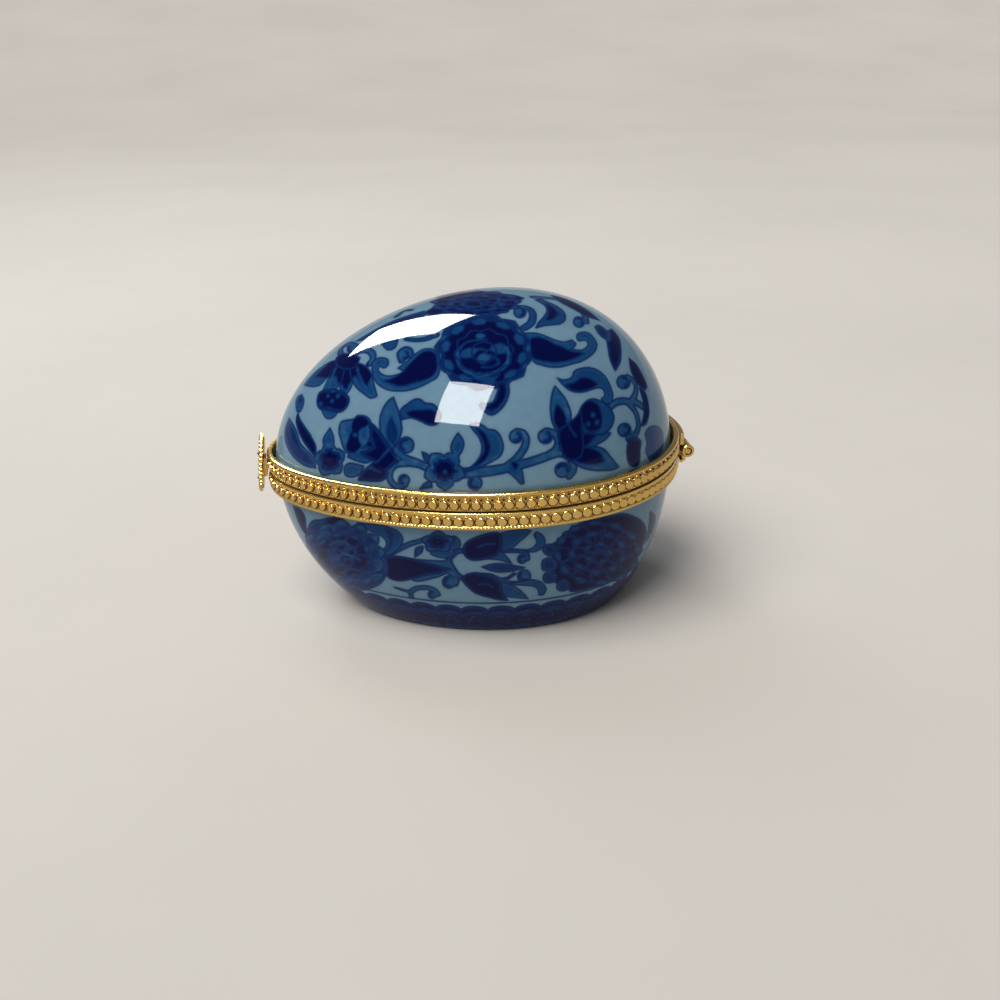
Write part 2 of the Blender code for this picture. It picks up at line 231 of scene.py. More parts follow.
# Scroll on the porcelain, in the photograph's frame, 1000 by 1000.
# A leaf has its layer, its tone at the edge and at the core, and its outline. A band has its layer, tone,
# width at both ends in mm, and middle line. A curl is the round end of a tendril: it has its layer, its
# middle and radius, and a place on the side where its dark hook is drawn. A patch has a tone and an
# outline, a vein a tone, a width in mm and a line, a spot its middle and radius: these three only change
# the tone of what lies under them.
LID_LEAVES = {
    "fan_calyx": (3, DEEP, NAVY, (
        (336, 358), (343, 354), (352, 354), (360, 358), (356, 366), (347, 369), (338, 366))),
    "fan_petal_far": (1, WASH, MID, (
        (341, 359), (330, 362), (319, 369), (310, 377), (304, 384.5), (312, 386.5), (320, 385),
        (326, 379), (335, 370))),
    "fan_petal_left": (2, WASH, MID, (
        (339, 364), (333, 369), (328, 379), (324, 388), (322, 392), (331, 391), (338, 387), (342, 379),
        (344, 368))),
    "fan_petal_middle": (1, WASH, MID, (
        (341, 366), (340, 378), (340, 388), (344, 396), (349, 391), (353, 382), (354, 368))),
    "fan_petal_right": (2, WASH, MID, (
        (350, 366), (357, 363), (365, 366), (371, 373), (374, 385), (377, 396), (371, 398), (363, 393),
        (357, 388), (352, 380))),
    "fan_lobe": (2, WASH, MID, (
        (321, 406), (323, 413), (326, 417.5), (330, 418.5), (334, 417), (338, 411), (335, 406))),
    "fan_head": (3, DEEP, NAVY, (
        (318, 395), (321, 391.5), (328, 390), (336, 389.5), (343, 392), (349, 398), (348, 405),
        (343, 411), (337, 412), (328, 409), (320, 409), (317, 403))),
    "feather_left": (1, WASH, MID, (
        (434, 350), (425, 349), (418, 352), (412, 357), (405, 363), (398, 368), (404, 371), (399, 374),
        (392, 376), (385, 376), (380, 373), (378, 369), (380, 366), (384, 368), (388, 365), (388, 360),
        (384, 358), (378, 358), (373, 362), (372, 368), (373, 376), (377, 383), (384, 388),
        (392, 390.5), (402, 391), (412, 389.5), (422, 386), (431, 381), (438, 376), (440, 362))),
    "crook_above_feather": (1, MID, MID, ((382, 344), (388, 350), (395, 348), (398, 340), (390, 341))),
    "bud_left": (2, WASH, WASH, (
        (340, 424), (343, 421), (349, 420), (354, 419), (357, 416), (361, 415.5), (367, 417),
        (371, 422), (372, 430), (369, 440), (362, 449), (353, 456), (347, 453), (343, 447), (341, 440),
        (339, 432))),
    "bud_fill": (0, DEEP, NAVY, (
        (362, 428), (372, 424), (381, 434), (386, 446), (374, 453), (362, 449))),
    "bud_tip": (1, WASH, WASH, (
        (393.5, 397), (389, 400), (385, 405), (382, 411), (380, 418), (380, 430), (383, 442),
        (392, 450), (399, 440), (402, 430), (401, 420), (399, 412), (396, 404))),
    "bud_base": (2, WASH, MID, (
        (347, 457), (355, 451), (363, 448), (372, 448), (380, 452), (374, 459), (366, 463),
        (357, 461))),
    "bud_side": (1, WASH, MID, (
        (345, 466), (350, 463), (356, 464), (364, 466), (360, 474), (352, 477), (345, 475))),
    "bud_body": (3, DEEP, NAVY, (
        (370, 425), (379, 432), (385, 440), (390, 447), (395, 455), (398, 461), (391, 466), (387, 470),
        (387, 476), (381, 481), (366, 481), (358, 480), (362, 472), (369, 466), (374, 461), (366, 457),
        (361, 453), (368, 450), (374, 447), (371, 438))),
    "small_bud": (1, WASH, MID, (
        (330, 428), (326, 434), (323, 440), (324, 446), (327, 450), (332, 449), (334, 443),
        (333, 435))),
    "edge_bud": (1, WASH, MID, (
        (296, 400), (298, 396), (302, 395), (304, 400), (303, 407), (300, 412), (297, 411),
        (296, 406))),
    "edge_leaf": (2, DEEP, NAVY, (
        (298, 412), (296, 420), (298, 430), (302, 439), (308, 448), (315, 457), (316, 447), (311, 436),
        (305, 427), (300, 419))),
    "edge_leaf_wide": (1, WASH, DEEP, (
        (289, 418), (285, 430), (286, 443), (293, 456), (304, 465), (316, 468), (312, 456), (301, 444),
        (296, 430))),
    "scalloped_leaf": (2, MID, MID, (
        (401, 420), (400, 412), (403, 407), (408, 403.5), (411, 401), (416, 399), (421, 399.5),
        (425, 403), (432, 404), (438, 409), (441, 417), (437, 424), (429, 425), (420, 421),
        (411, 418))),
    "thorn_one": (0, MID, DEEP, ((422, 452), (427, 454), (431, 458), (431, 463), (425, 461))),
    "thorn_two": (0, MID, DEEP, ((420, 489), (424, 484), (431, 480), (432, 487))),
    "upright_bud": (1, WASH, MID, (
        (458, 433), (454, 439), (451, 446), (452, 453), (457, 458), (462, 451), (464, 444),
        (462, 438))),
    "crescent_leaf": (1, WASH, MID, (
        (470, 425), (476, 423.5), (482, 425), (488, 429.5), (494, 430), (499, 434), (502, 441),
        (503, 449), (500, 456), (494, 460), (485, 465), (472, 470), (463, 472), (471, 467), (477, 461),
        (481, 454), (482, 446), (479, 437), (474, 431))),
    "fork_leaf": (0, WASH, MID, (
        (500, 470), (509, 473), (516, 479), (521, 484), (524, 483), (523, 476), (521, 469),
        (513, 463))),
    "rosette_tail": (1, MID, DEEP, (
        (499, 384), (508, 382), (509, 392), (506, 402), (500, 410), (492, 415), (485, 412), (480, 406),
        (482, 403), (487, 404), (493, 402), (496, 396), (498, 390))),
    "blossom_sepal": (1, WASH, WASH, (
        (555, 386), (552.5, 392), (551, 400), (550.5, 411), (552, 421), (555, 428), (562, 436),
        (568, 430), (571, 420), (570, 410), (566, 400), (562, 394))),
    "blossom_head": (2, MID, MID, (
        (577, 424), (579, 413), (582, 406), (587, 401), (592, 399), (598, 400), (604, 403), (610, 408),
        (614, 416), (613, 424), (609, 430), (603, 434), (595, 434), (584, 432))),
    "blossom_right": (1, WASH, MID, (
        (578, 432), (588, 431), (596, 431), (603, 432), (611, 433), (606, 439), (598, 444), (590, 449),
        (580, 448))),
    "blossom_low": (2, WASH, WASH, (
        (576, 448), (588, 447), (598, 447), (605, 450), (610, 456), (619, 467), (612, 470),
        (603, 470.5), (593, 470), (583, 468), (574, 463), (567, 455), (566, 449))),
    "blossom_body": (3, NAVY, NAVY, (
        (560, 430), (568, 424), (575, 418), (580, 412), (582, 420), (582, 430), (583, 440), (583, 450),
        (580, 457), (572, 460), (565, 456), (561, 447), (559, 438))),
    "hooked_leaf": (1, WASH, MID, (
        (557, 378), (563, 380), (569, 379), (573, 376), (573, 373), (577, 369.5), (583, 368),
        (588, 367.5), (594, 368.5), (599, 371), (604, 375), (608, 381), (611, 388), (613, 395),
        (611, 402), (605, 404), (601, 399), (605, 396), (604, 391), (601, 388), (596, 388), (590, 390),
        (583, 392), (575, 392), (569, 390), (564, 386))),
    "vine_leaf_low": (2, DEEP, NAVY, (
        (627, 446), (629, 440), (635, 437), (641, 441), (640, 450), (640, 459), (637, 466), (630, 465),
        (627, 456))),
    "edge_leaf_right": (1, DEEP, NAVY, (
        (629, 358), (636, 364), (642, 374), (647, 387), (643, 390), (637, 383), (631, 371))),
    "edge_leaf_right_low": (1, DEEP, NAVY, (
        (639, 388), (645, 392), (648, 402), (649, 414), (646, 424), (641, 426), (644, 413),
        (643, 401))),
    "right_low_leaf": (1, WASH, MID, (
        (645, 434), (650, 427), (658, 427), (663, 434), (663, 446), (658, 456), (651, 462), (646, 452),
        (647, 443))),
    "long_leaf": (1, DEEP, NAVY, (
        (606, 334), (608, 347), (610, 359), (615, 371), (620, 362), (621, 350), (619, 338),
        (612, 329))),
    "rosette_body": (2, NAVY, NAVY, (
        (446, 351), (449, 343), (457, 335), (468, 328), (480, 325), (494, 326), (507, 330), (517, 337),
        (523, 348), (524, 358), (520, 369), (510, 378), (496, 383), (478, 384), (462, 380), (452, 372),
        (446, 362))),
    "feather_right": (1, WASH, MID, (
        (526, 333), (535, 333), (543, 335), (550, 338), (558, 341), (566, 342), (572, 340), (576, 344),
        (573, 348), (569, 350), (576, 350), (583, 350), (588, 346), (587, 341), (583, 340), (579, 341),
        (577, 338), (578, 334), (583, 332), (589, 333), (594, 338), (597, 344), (595, 351), (590, 356),
        (582, 361), (572, 364), (560, 367), (550, 367), (541, 365), (534, 362), (528, 350))),
    "lobe_leaf_top": (1, MID, MID, (
        (535, 300), (541, 299), (548, 302), (555, 305), (561, 309), (565, 314), (565, 320), (560, 324),
        (552, 325), (543, 326), (536, 328), (539, 322), (543, 318), (547, 312), (546, 307),
        (541, 303))),
    "hanging_bud": (1, MID, DEEP, (
        (595, 327), (599, 325), (605, 329), (610, 335), (609, 341), (603, 338), (598, 333))),
    "top_frill": (1, DEEP, NAVY, (
        (424, 313), (434, 307), (448, 301), (464, 297.5), (482, 295), (500, 294), (514, 295),
        (524, 298), (518, 302), (510, 307), (503, 312), (494, 315), (480, 313), (462, 312), (444, 313),
        (432, 315))),
    "top_tail": (1, MID, DEEP, (
        (424, 311), (410, 315), (395, 320), (380, 327), (366, 335), (356, 341), (368, 339), (382, 334),
        (396, 329), (412, 322), (424, 318))),
    "top_leaf_right": (1, MID, NAVY, (
        (551, 295), (562, 297.5), (577, 304), (590, 312), (600, 320.5), (588, 317), (573, 309),
        (559, 301.5))),
}

LID_BANDS = {
    "fan_curl": (0, WASH, 0.9, 1.1, ((343, 357), (340, 352), (343, 347), (350, 344), (356, 347))),
    "fan_curl_right": (0, WASH, 1.0, 1.0, (
        (354, 357), (358, 352), (366, 350), (372, 353), (373, 359), (369, 364))),
    "feather_curl": (0, MID, 0.7, 1.1, (
        (416, 364), (412, 358), (410, 351), (405, 349), (400, 353), (402, 360))),
    "feather_strip": (0, MID, 0.6, 1.0, ((406, 339), (415, 340), (425, 339), (436, 335))),
    "left_vine": (0, WASH, 1.0, 1.2, (
        (393, 442), (396, 450), (402, 456), (409, 460), (417, 463), (426, 467))),
    "left_vine_low": (0, WASH, 1.1, 0.9, (
        (428, 467), (418, 464), (406, 463), (396, 464.5), (390.5, 470), (389.5, 478), (393, 484),
        (399, 487), (405, 484))),
    "main_stem": (0, WASH, 1.6, 1.0, (
        (452, 474), (466, 473), (482, 472), (500, 469.5), (515, 466), (530, 462), (541, 458.5),
        (552, 454.5), (560, 453), (568, 456), (573, 463), (573.5, 470), (569, 476))),
    "stem_curl_one": (0, WASH, 1.1, 1.0, (
        (506, 467), (515, 460), (521, 453), (525, 446), (526, 439), (523, 433.5), (517, 432))),
    "stem_curl_two": (0, WASH, 1.0, 1.0, (
        (538, 459), (548, 455), (555, 450), (558, 444), (557, 437), (552, 432.5), (546, 431.5))),
    "right_stem": (0, WASH, 1.0, 1.1, (
        (609, 408), (615, 403), (622, 401), (630, 402), (637, 403), (645, 408))),
    "right_curl_up": (0, WASH, 1.0, 0.9, ((630, 403), (635, 395), (636, 387), (633, 380), (628, 377))),
    "right_curl_down": (0, WASH, 1.0, 1.1, (
        (629, 404), (635, 411), (638, 420), (638, 429), (634, 436), (628, 438))),
    "top_curl": (0, MID, 1.1, 1.0, (
        (524, 328), (531, 323), (533, 316), (531, 310), (524, 307), (517, 307))),
    "top_vine": (0, WASH, 1.0, 1.0, (
        (533, 297), (548, 298), (560, 300), (570, 304), (578, 309), (585, 316), (586, 322))),
    "top_small_leaf": (0, MID, 1.0, 0.5, ((397, 316), (404, 311), (412, 310))),
}

LID_CURLS = {
    "feather_curl_end": (0, 405, 355, 4.5, 409, 357),
    "left_vine_end": (0, 406, 445, 8, 403, 444),
    "left_low_end": (0, 404, 480, 5.5, 397, 478),
    "stem_one_end": (0, 516, 436.5, 6.5, 521, 438.5),
    "stem_two_end": (0, 545.5, 436.5, 7.2, 551.5, 438.5),
    "spiral_end": (0, 562.5, 470, 7.5, 563.5, 467.5),
    "small_end": (0, 475, 483, 7, 473, 484),
    "right_up_end": (0, 623.5, 382, 6.8, 627, 381),
    "right_down_end": (0, 624.5, 430, 6.8, 629, 430),
    "top_curl_end": (0, 520, 312, 6, 526, 312),
    "top_vine_end": (0, 579, 322, 5.5, 582, 320),
    "fan_curl_end": (0, 351, 349, 3.8, 347, 351),
}

LID_PATCHES = (
    (NAVY, (
        (323, 369), (333, 360), (345, 354), (358, 358), (368, 364), (373, 373), (369, 381), (362, 375),
        (356, 373), (350, 383), (346, 377), (341, 385), (336, 376), (329, 378), (320, 377))),
    (NAVY, ((338, 360), (331, 363), (322, 370), (315, 377), (322, 376), (330, 370), (337, 365))),
    (NAVY, ((338, 364), (345, 364), (344, 372), (341, 380), (339, 384), (337, 376))),
    (NAVY, ((343, 366), (350, 366), (350, 378), (347, 389), (344, 388), (342, 380))),
    (NAVY, (
        (351, 363), (358, 364), (366, 368), (369, 376), (367, 387), (361, 382), (356, 376),
        (352, 371))),
    (NAVY, (
        (383, 381), (392, 384), (402, 386), (413, 383), (424, 380), (432, 376), (437, 368), (436, 355),
        (430, 351), (421, 353), (413, 361), (405, 369), (395, 377))),
    (NAVY, (
        (530, 339), (538, 337), (546, 340), (554, 344), (562, 347), (571, 351), (584, 353), (575, 358),
        (565, 361), (552, 362), (540, 360), (532, 356))),
    (NAVY, (
        (354, 419), (360, 416), (366, 418), (370, 424), (365, 427), (359, 431), (359, 441), (362, 446),
        (354, 453), (348, 451), (346, 446), (349, 438), (351, 429))),
    (DEEP, ((391, 416), (388, 422), (386, 431), (388, 441), (394, 446), (398, 436), (395, 423))),
    (DEEP, ((300, 396), (303, 399), (301, 403), (298, 401))),
    (NAVY, (
        (407, 413), (413, 411), (421, 410.5), (431, 410), (440, 414), (437, 423), (430, 424),
        (423, 421), (416, 418), (410, 416))),
    (NAVY, (
        (475, 428), (482, 431), (487, 437), (490, 447), (487, 457), (480, 464), (470, 469), (478, 461),
        (483, 454), (484, 446), (481, 437))),
    (NAVY, ((557, 404), (554, 413), (555, 424), (560, 432), (566, 429), (566, 418), (562, 409))),
    (NAVY, (
        (582, 404), (590, 401), (597, 404), (601, 412), (602, 422), (599, 430), (588, 431), (583, 422),
        (581, 412))),
    (NAVY, ((582, 434), (590, 433), (598, 434), (592, 440), (584, 447))),
    (NAVY, (
        (573, 448), (583, 447), (594, 449), (601, 454), (605, 461), (597, 464), (586, 464),
        (576, 461))),
    (NAVY, (
        (565, 385), (574, 383), (582, 378), (590, 379), (598, 384), (593, 388), (582, 391),
        (572, 390))),
    (NAVY, ((545, 303), (553, 307), (558, 314), (553, 319), (546, 320), (549, 312))),
    (NAVY, ((510, 463), (515, 462), (519, 466), (515, 469))),
    (NAVY, (
        (500, 384), (506, 385), (505, 396), (499, 405), (492, 409), (486, 407), (495, 402),
        (498, 394))),
    (MID, ((460, 357), (462, 351), (469, 348), (478, 348.5), (475, 354), (467, 358.5))),
    (WASH, ((476.5, 360), (479, 355), (485, 353), (491, 357), (488, 362), (481, 363.5))),
    (MID, ((489, 350), (493, 345), (501, 343), (508, 347), (506, 352.5), (498, 354))),
    (MID, ((470, 378), (480, 375.5), (492, 376.5), (500, 374), (494, 381), (482, 382))),
    (WASH, ((475.5, 336), (478, 333.5), (483, 333.5), (486, 336), (482, 338.5), (477.5, 338.5))),
)

LID_VEINS = (
    (WASH, 0.36, ((336, 368), (332, 377), (329, 387))),
    (WASH, 0.36, ((357, 368), (360, 377), (366, 388))),
    (MID, 0.36, ((376, 463), (382, 457), (389, 449))),
    (MID, 0.36, ((362, 463), (371, 468), (380, 472))),
    (MID, 0.34, ((576, 436), (570, 428), (568, 420))),
    (WASH, 0.55, (
        (457, 352), (459, 364), (466, 371), (476, 374.5), (487, 374.5), (498, 371), (506, 365),
        (509, 357), (507, 348))),
    (MID, 0.34, ((459, 350), (465, 343), (474, 340.5), (487, 340))),
    (MID, 0.34, ((470, 357), (475, 351), (481, 349), (487, 351))),
    (MID, 0.34, ((490, 355), (496, 358), (499, 363), (492, 367), (482, 367))),
    (MID, 0.4, ((462, 304), (469, 301), (478, 301), (483, 304), (476, 307), (466, 307), (462, 304))),
    (MID, 0.4, ((446, 309), (450, 304), (458, 301), (470, 299))),
    (MID, 0.4, ((492, 306), (499, 302), (507, 300), (514, 300))),
    (MID, 0.4, ((470, 296), (482, 294), (497, 293), (512, 293))),
)

# A rosette has its middle, half-width, half-height and turn, then rings of petals from the outside in.
# A ring has its layer, count, where a petal starts and ends from the middle out, its half-width, its tone
# at the edge and at the core, and the tone of its tip. A ring without a layer only outlines its petals.
LID_ROSETTES = {
    "left_flower": (330, 460, 15.5, 16.5, 60, (
        (1, 5, 0.2, 1.05, 0.46, WASH, DEEP, WASH), (3, 6, 0.0, 0.6, 0.28, NAVY, NAVY, NAVY))),
    "star_flower": (444.5, 470, 21, 20, 92, (
        (1, 5, 0.2, 1.02, 0.42, WASH, MID, WASH), (3, 9, 0.0, 0.52, 0.2, NAVY, NAVY, NAVY))),
    "great_rosette": (484, 352, 47, 37, 97, (
        (1, 12, 0.5, 1.06, 0.38, WASH, DEEP, DEEP), (2, 10, 0.4, 0.95, 0.34, NAVY, NAVY, MID),
        (3, 10, 0.26, 0.64, 0.22, NAVY, NAVY, NAVY))),
    "top_rosette": (476, 303, 46, 13, 90, (
        (2, 13, 0.58, 1.0, 0.22, DEEP, NAVY, MID), (3, 9, 0.25, 0.66, 0.2, DEEP, NAVY, MID))),
}
LID_SPOTS = (
    (328, 396, 1.8), (332, 401, 2), (338, 396, 2), (333, 391, 1.6), (321, 404, 1.8), (355, 435, 2.2),
    (364, 435, 3.4), (365, 430, 2.4), (349, 430, 3.2), (445, 472, 2.2), (593, 415, 2.4),
    (588, 424, 2.2), (597, 422, 2.2), (606, 413, 3), (608, 421, 3),
)

BOWL_LEAVES = {
    "far_left_leaf": (1, DEEP, NAVY, (
        (293, 506), (300, 509), (305, 517), (306, 527), (309, 538), (303, 531), (298, 521))),
    "far_right_leaf": (1, MID, DEEP, (
        (650, 512), (655, 516), (654.5, 525), (651, 534), (645, 543), (647, 534), (649, 523))),
    "crescent_leaf": (1, WASH, MID, (
        (357, 523), (368, 524), (380, 525), (391, 528), (399, 532), (403, 539), (400, 547), (393, 553),
        (384, 557), (380, 552), (386, 547), (386, 541), (380, 535), (370, 531))),
    "bulb_leaf": (1, DEEP, NAVY, (
        (384, 559), (392, 556), (401, 556.5), (409, 558), (417, 560), (427, 563), (438, 566),
        (450, 569), (439, 573), (428, 574.5), (418, 577), (408, 580), (398, 581), (389, 578),
        (383, 570))),
    "bulb_tip": (0, WASH, WASH, (
        (402, 558), (425, 560), (452, 561), (452, 570), (434, 578), (412, 580))),
    "bud_one": (2, DEEP, NAVY, (
        (463, 550), (464, 545), (468, 541), (474, 538), (482, 535), (490, 533), (499, 533), (502, 540),
        (501, 549), (496, 555), (490, 558), (480, 560), (471, 560), (465, 556))),
    "bud_one_tip": (1, WASH, MID, (
        (488, 535), (498, 534), (510, 531), (521, 529), (531, 531), (525, 537), (519, 542), (512, 548),
        (502, 550))),
    "bud_one_tip_low": (1, WASH, MID, (
        (476, 559), (488, 559), (500, 560), (512, 564), (506, 556), (498, 550), (488, 548))),
    "claw": (1, WASH, MID, (
        (522, 550), (530, 549), (535, 546), (537, 541), (534, 535), (537, 532), (542, 535), (545, 540),
        (544, 546), (539, 550), (532, 552))),
    "middle_leaf": (1, MID, DEEP, (
        (482, 567), (490, 564.5), (500, 563.5), (511, 565), (525, 567.5), (516, 570.5), (507, 572),
        (497, 572), (489, 570))),
    "bud_two": (2, DEEP, NAVY, (
        (462, 578), (466, 574.5), (473, 573), (481, 574), (489, 576), (497, 580), (501, 585),
        (502, 592), (508, 600.5), (499, 600), (491, 598), (483, 596), (475, 593), (469, 588),
        (464, 583))),
    "bud_two_petal": (1, WASH, MID, (
        (492, 579), (501, 582), (509, 584), (517, 588), (523, 593), (528, 599), (519, 598), (509, 597),
        (499, 595))),
    "horn": (1, WASH, MID, (
        (508, 583), (520, 582), (531, 580), (539, 581), (544, 585), (546, 590), (543, 595), (539, 595),
        (538, 589), (532, 586), (520, 585))),
    "thorn": (0, MID, MID, ((416, 548), (415, 557), (422, 552), (423, 546))),
    "left_chrysanthemum": (2, MID, DEEP, (
        (308, 530), (313, 521), (321, 520), (328, 518), (338, 518), (345, 521), (350, 530), (358, 536),
        (366, 540), (372, 546), (378, 553), (384, 556), (387, 564), (387, 572), (384, 579), (378, 585),
        (365, 590), (350, 588), (335, 580), (322, 565), (312, 548))),
    "left_chrysanthemum_top": (3, NAVY, NAVY, (
        (326, 520), (335, 517), (344, 520), (349, 529), (342, 533), (332, 531))),
    "left_lobe_one": (3, WASH, MID, (
        (348, 534), (354, 533), (360, 538), (359, 544), (352, 545), (346, 541))),
    "left_lobe_two": (3, WASH, MID, (
        (363, 545), (369, 543), (375, 549), (375, 556), (368, 556), (363, 551))),
    "left_lobe_three": (3, WASH, MID, (
        (371, 562), (377, 558), (383, 561), (384, 568), (379, 572), (372, 569))),
    "left_lobe_four": (3, WASH, MID, ((369, 576), (376, 573), (384, 574), (380, 580), (373, 581))),
    "right_chrysanthemum": (0, DEEP, NAVY, (
        (551, 546), (556, 542), (563, 541), (566, 534), (573, 531), (577, 525), (590, 520), (610, 516),
        (625, 514), (640, 520), (646, 530), (643, 545), (635, 560), (620, 575), (605, 583), (590, 588),
        (579, 591), (570, 591), (566, 583), (556, 583), (552, 577), (553, 566), (552, 556))),
    "right_lobe_one": (1, MID, DEEP, (
        (543, 551), (544, 546), (550, 544), (556, 547), (556, 553), (549, 556))),
    "right_lobe_two": (1, MID, DEEP, (
        (542, 565), (543, 560), (549, 558), (556, 561), (556, 568), (549, 571), (543, 570))),
    "right_lobe_three": (1, MID, DEEP, (
        (543, 579), (545, 573), (551, 572), (556, 576), (554, 582), (547, 583))),
    "right_lobe_four": (1, MID, DEEP, (
        (557, 588), (558, 582), (564, 580), (569, 584), (567, 590), (561, 591))),
    "right_lobe_five": (1, MID, DEEP, (
        (562, 540), (563, 533), (570, 531), (576, 535), (573, 542), (567, 543))),
    "small_flower_right": (1, WASH, MID, ((447, 538), (454, 536), (460, 541), (459, 548), (450, 551))),
    "small_flower_low": (1, WASH, MID, (
        (430, 548), (440, 550), (450, 548), (455, 553), (449, 558), (438, 557), (431, 554))),
}
BOWL_BANDS = {
    "stem": (0, WASH, 0.9, 0.7, ((386, 556), (399, 549), (410, 544), (424, 540))),
    "fork_up": (0, MID, 0.7, 0.9, ((448, 561), (453, 555), (458, 551), (465, 551))),
    "fork_down": (0, MID, 0.8, 0.9, ((448, 560), (452, 567), (457, 574), (464, 579))),
    "bulb_curl": (0, WASH, 1.0, 1.0, ((422, 564), (438, 568), (450, 572), (456, 578), (455, 584))),
    "bud_one_tendril": (0, MID, 0.6, 0.8, ((496, 552), (507, 551), (518, 551), (526, 553), (527, 559))),
    "bud_two_petal_thin": (0, MID, 0.5, 0.5, (
        (474, 574), (490, 575), (500, 579), (508, 578), (514, 574))),
    "bud_two_stem": (0, WASH, 0.7, 0.7, ((498, 580), (509, 582.5), (520, 583), (530, 581))),
    "low_tendril": (0, WASH, 0.7, 1.1, (
        (412, 597.5), (410.5, 592.5), (416, 588.5), (426, 587.5), (434, 590), (437, 594))),
    "low_tendril_tail": (0, WASH, 0.35, 0.7, ((395, 587.5), (403, 590), (411, 592.5))),
}
BOWL_CURLS = {
    "bulb_end": (0, 449, 582, 6.5, 444, 583),
    "tendril_end": (0, 522, 559, 4.5, 519, 557),
    "small_end": (0, 524, 576, 6.5, 523, 577),
    "low_tendril_end": (0, 432.5, 594.5, 4.2, 427, 593),
}
BOWL_PATCHES = (
    (DEEP, ((384, 528), (391, 530), (394, 537), (391, 546), (385, 554), (388, 546), (389, 538))),
    (MID, ((353, 563), (356, 561), (362, 562), (364, 565), (359, 568), (354, 567))),
    (NAVY, (
        (335, 545), (345, 546), (358, 555), (366, 560), (368, 570), (355, 574), (344, 566),
        (336, 556))),
)
BOWL_VEINS = (
    (MID, 0.34, ((478, 547), (485, 544.5), (494, 544))),
    (MID, 0.34, ((478, 585), (485, 584), (493, 587))),
    (WASH, 0.4, ((330, 545), (338, 541), (346, 543), (352, 548))),
    (WASH, 0.4, ((335, 560), (343, 554), (352, 556), (360, 560))),
    (WASH, 0.4, ((340, 574), (350, 569), (362, 572))),
    (WASH, 0.4, ((318, 540), (322, 533), (328, 532))),
    (WASH, 0.4, ((345, 582), (356, 579), (368, 583))),
    (0.62, 0.36, ((565, 562), (571, 557), (580, 555), (587, 558))),
    (0.62, 0.36, ((564, 564), (572, 569), (583, 568), (590, 563))),
    (0.62, 0.36, ((592, 562), (592, 555), (599, 550), (607, 552), (608, 559), (602, 564), (595, 563))),
    (0.62, 0.36, ((595, 540), (597, 534), (604, 531), (610, 536))),
    (0.62, 0.36, ((590, 576), (592, 569), (599, 567), (604, 572))),
    (0.62, 0.36, ((574, 550), (575, 542), (583, 541), (590, 544))),
    (0.62, 0.36, ((570, 577), (576, 572), (583, 574))),
    (DEEP, 0.4, ((612, 545), (618, 538), (626, 538))),
    (DEEP, 0.4, ((614, 566), (620, 558), (628, 556))),
)
BOWL_ROSETTES = {
    "small_flower": (438, 542, 17, 11, 90, (
        (2, 5, 0.15, 1.02, 0.44, MID, DEEP, WASH), (3, 6, 0.0, 0.5, 0.24, NAVY, NAVY, NAVY))),
    "left_chrysanthemum_petals": (342, 556, 44, 36, 20, (
        (3, 13, 0.6, 1.0, 0.2, MID, DEEP, WASH), (4, 9, 0.3, 0.68, 0.19, DEEP, NAVY, MID),
        (None, 5, 0.02, 0.34, 0.15, MID, MID, MID))),
    "right_chrysanthemum_petals": (598, 553, 46, 34, 5, (
        (2, 12, 0.52, 0.98, 0.24, DEEP, NAVY, MID), (3, 9, 0.22, 0.66, 0.22, DEEP, NAVY, MID),
        (4, 5, 0.02, 0.34, 0.16, DEEP, NAVY, MID))),
}
BOWL_SPOTS = (
    (377, 565, 2.5), (369, 550, 2.5),
)

# Scalloped border of the bowl, in mm above the surface it stands on
BORDER_LINE_HEIGHT = 7.7
BORDER_LINE_WIDTH = 0.10
BORDER_START = 0.02
ARCH_COUNT = 36
ARCH_PHASE = 0.03
ARCH_VALLEY = 5.6
ARCH_RISE = 1.3
ARCH_HALF_PITCH = 2.3
ARCH_ROUNDNESS = 0.9
ARCH_STEEPNESS = 0.8

# Arcs inside each arch: how far below its top, their share of its width, tone and width in mm
BORDER_ARCS = (
    (0.95, 1.0, NAVY, 0.40),
    (3.6, 1.0, NAVY, 3.4),
    (1.9, 0.62, MID, 0.30),
    (2.6, 0.40, WASH, 0.30),
    (3.9, 0.75, DEEP, 0.35),
)


def smooth_path(points, closed):
    """A curve through points, rounded where it bends gently and sharp at tips."""
    points = np.asarray(points, float)
    before = np.roll(points, 1, 0)
    after = np.roll(points, -1, 0)
    if not closed:
        before[0] = points[0]
        after[-1] = points[-1]
    into = points - before
    out = after - points
    size = np.linalg.norm(into, axis=1) * np.linalg.norm(out, axis=1)
    straight = np.divide((into * out).sum(1), size, out=np.ones(len(points)), where=size > 0)
    tip = (straight < cos(TIP_ANGLE))[:, None]
    slope = (after - before) / 2
    arriving = np.where(tip, into / 2, slope)
    leaving = np.where(tip, out / 2, slope)
    count = len(points) if closed else len(points) - 1
    line = []
    for k in range(count):
        start, end = points[k], points[(k + 1) % len(points)]
        pieces = max(2, int(np.linalg.norm(end - start) / PATH_PIECE))
        t = np.arange(pieces)[:, None] / pieces
        line.append((2 * t**3 - 3 * t**2 + 1) * start + (t**3 - 2 * t**2 + t) * leaving[k]
                    + (3 * t**2 - 2 * t**3) * end + (t**3 - t**2) * arriving[(k + 1) % len(points)])
    if not closed:
        line.append(points[-1:])
    return np.concatenate(line)


def segment_distances(places, starts, ends):
    """Distances from places to segments, and how far along each segment its nearest point is."""
    along = ends - starts
    offset = places[:, None] - starts[None]
    length = np.maximum((along**2).sum(1), 1e-12)
    share = np.clip((offset * along).sum(2) / length, 0, 1)
    gap = offset - share[..., None] * along
    return np.sqrt((gap**2).sum(2)), share


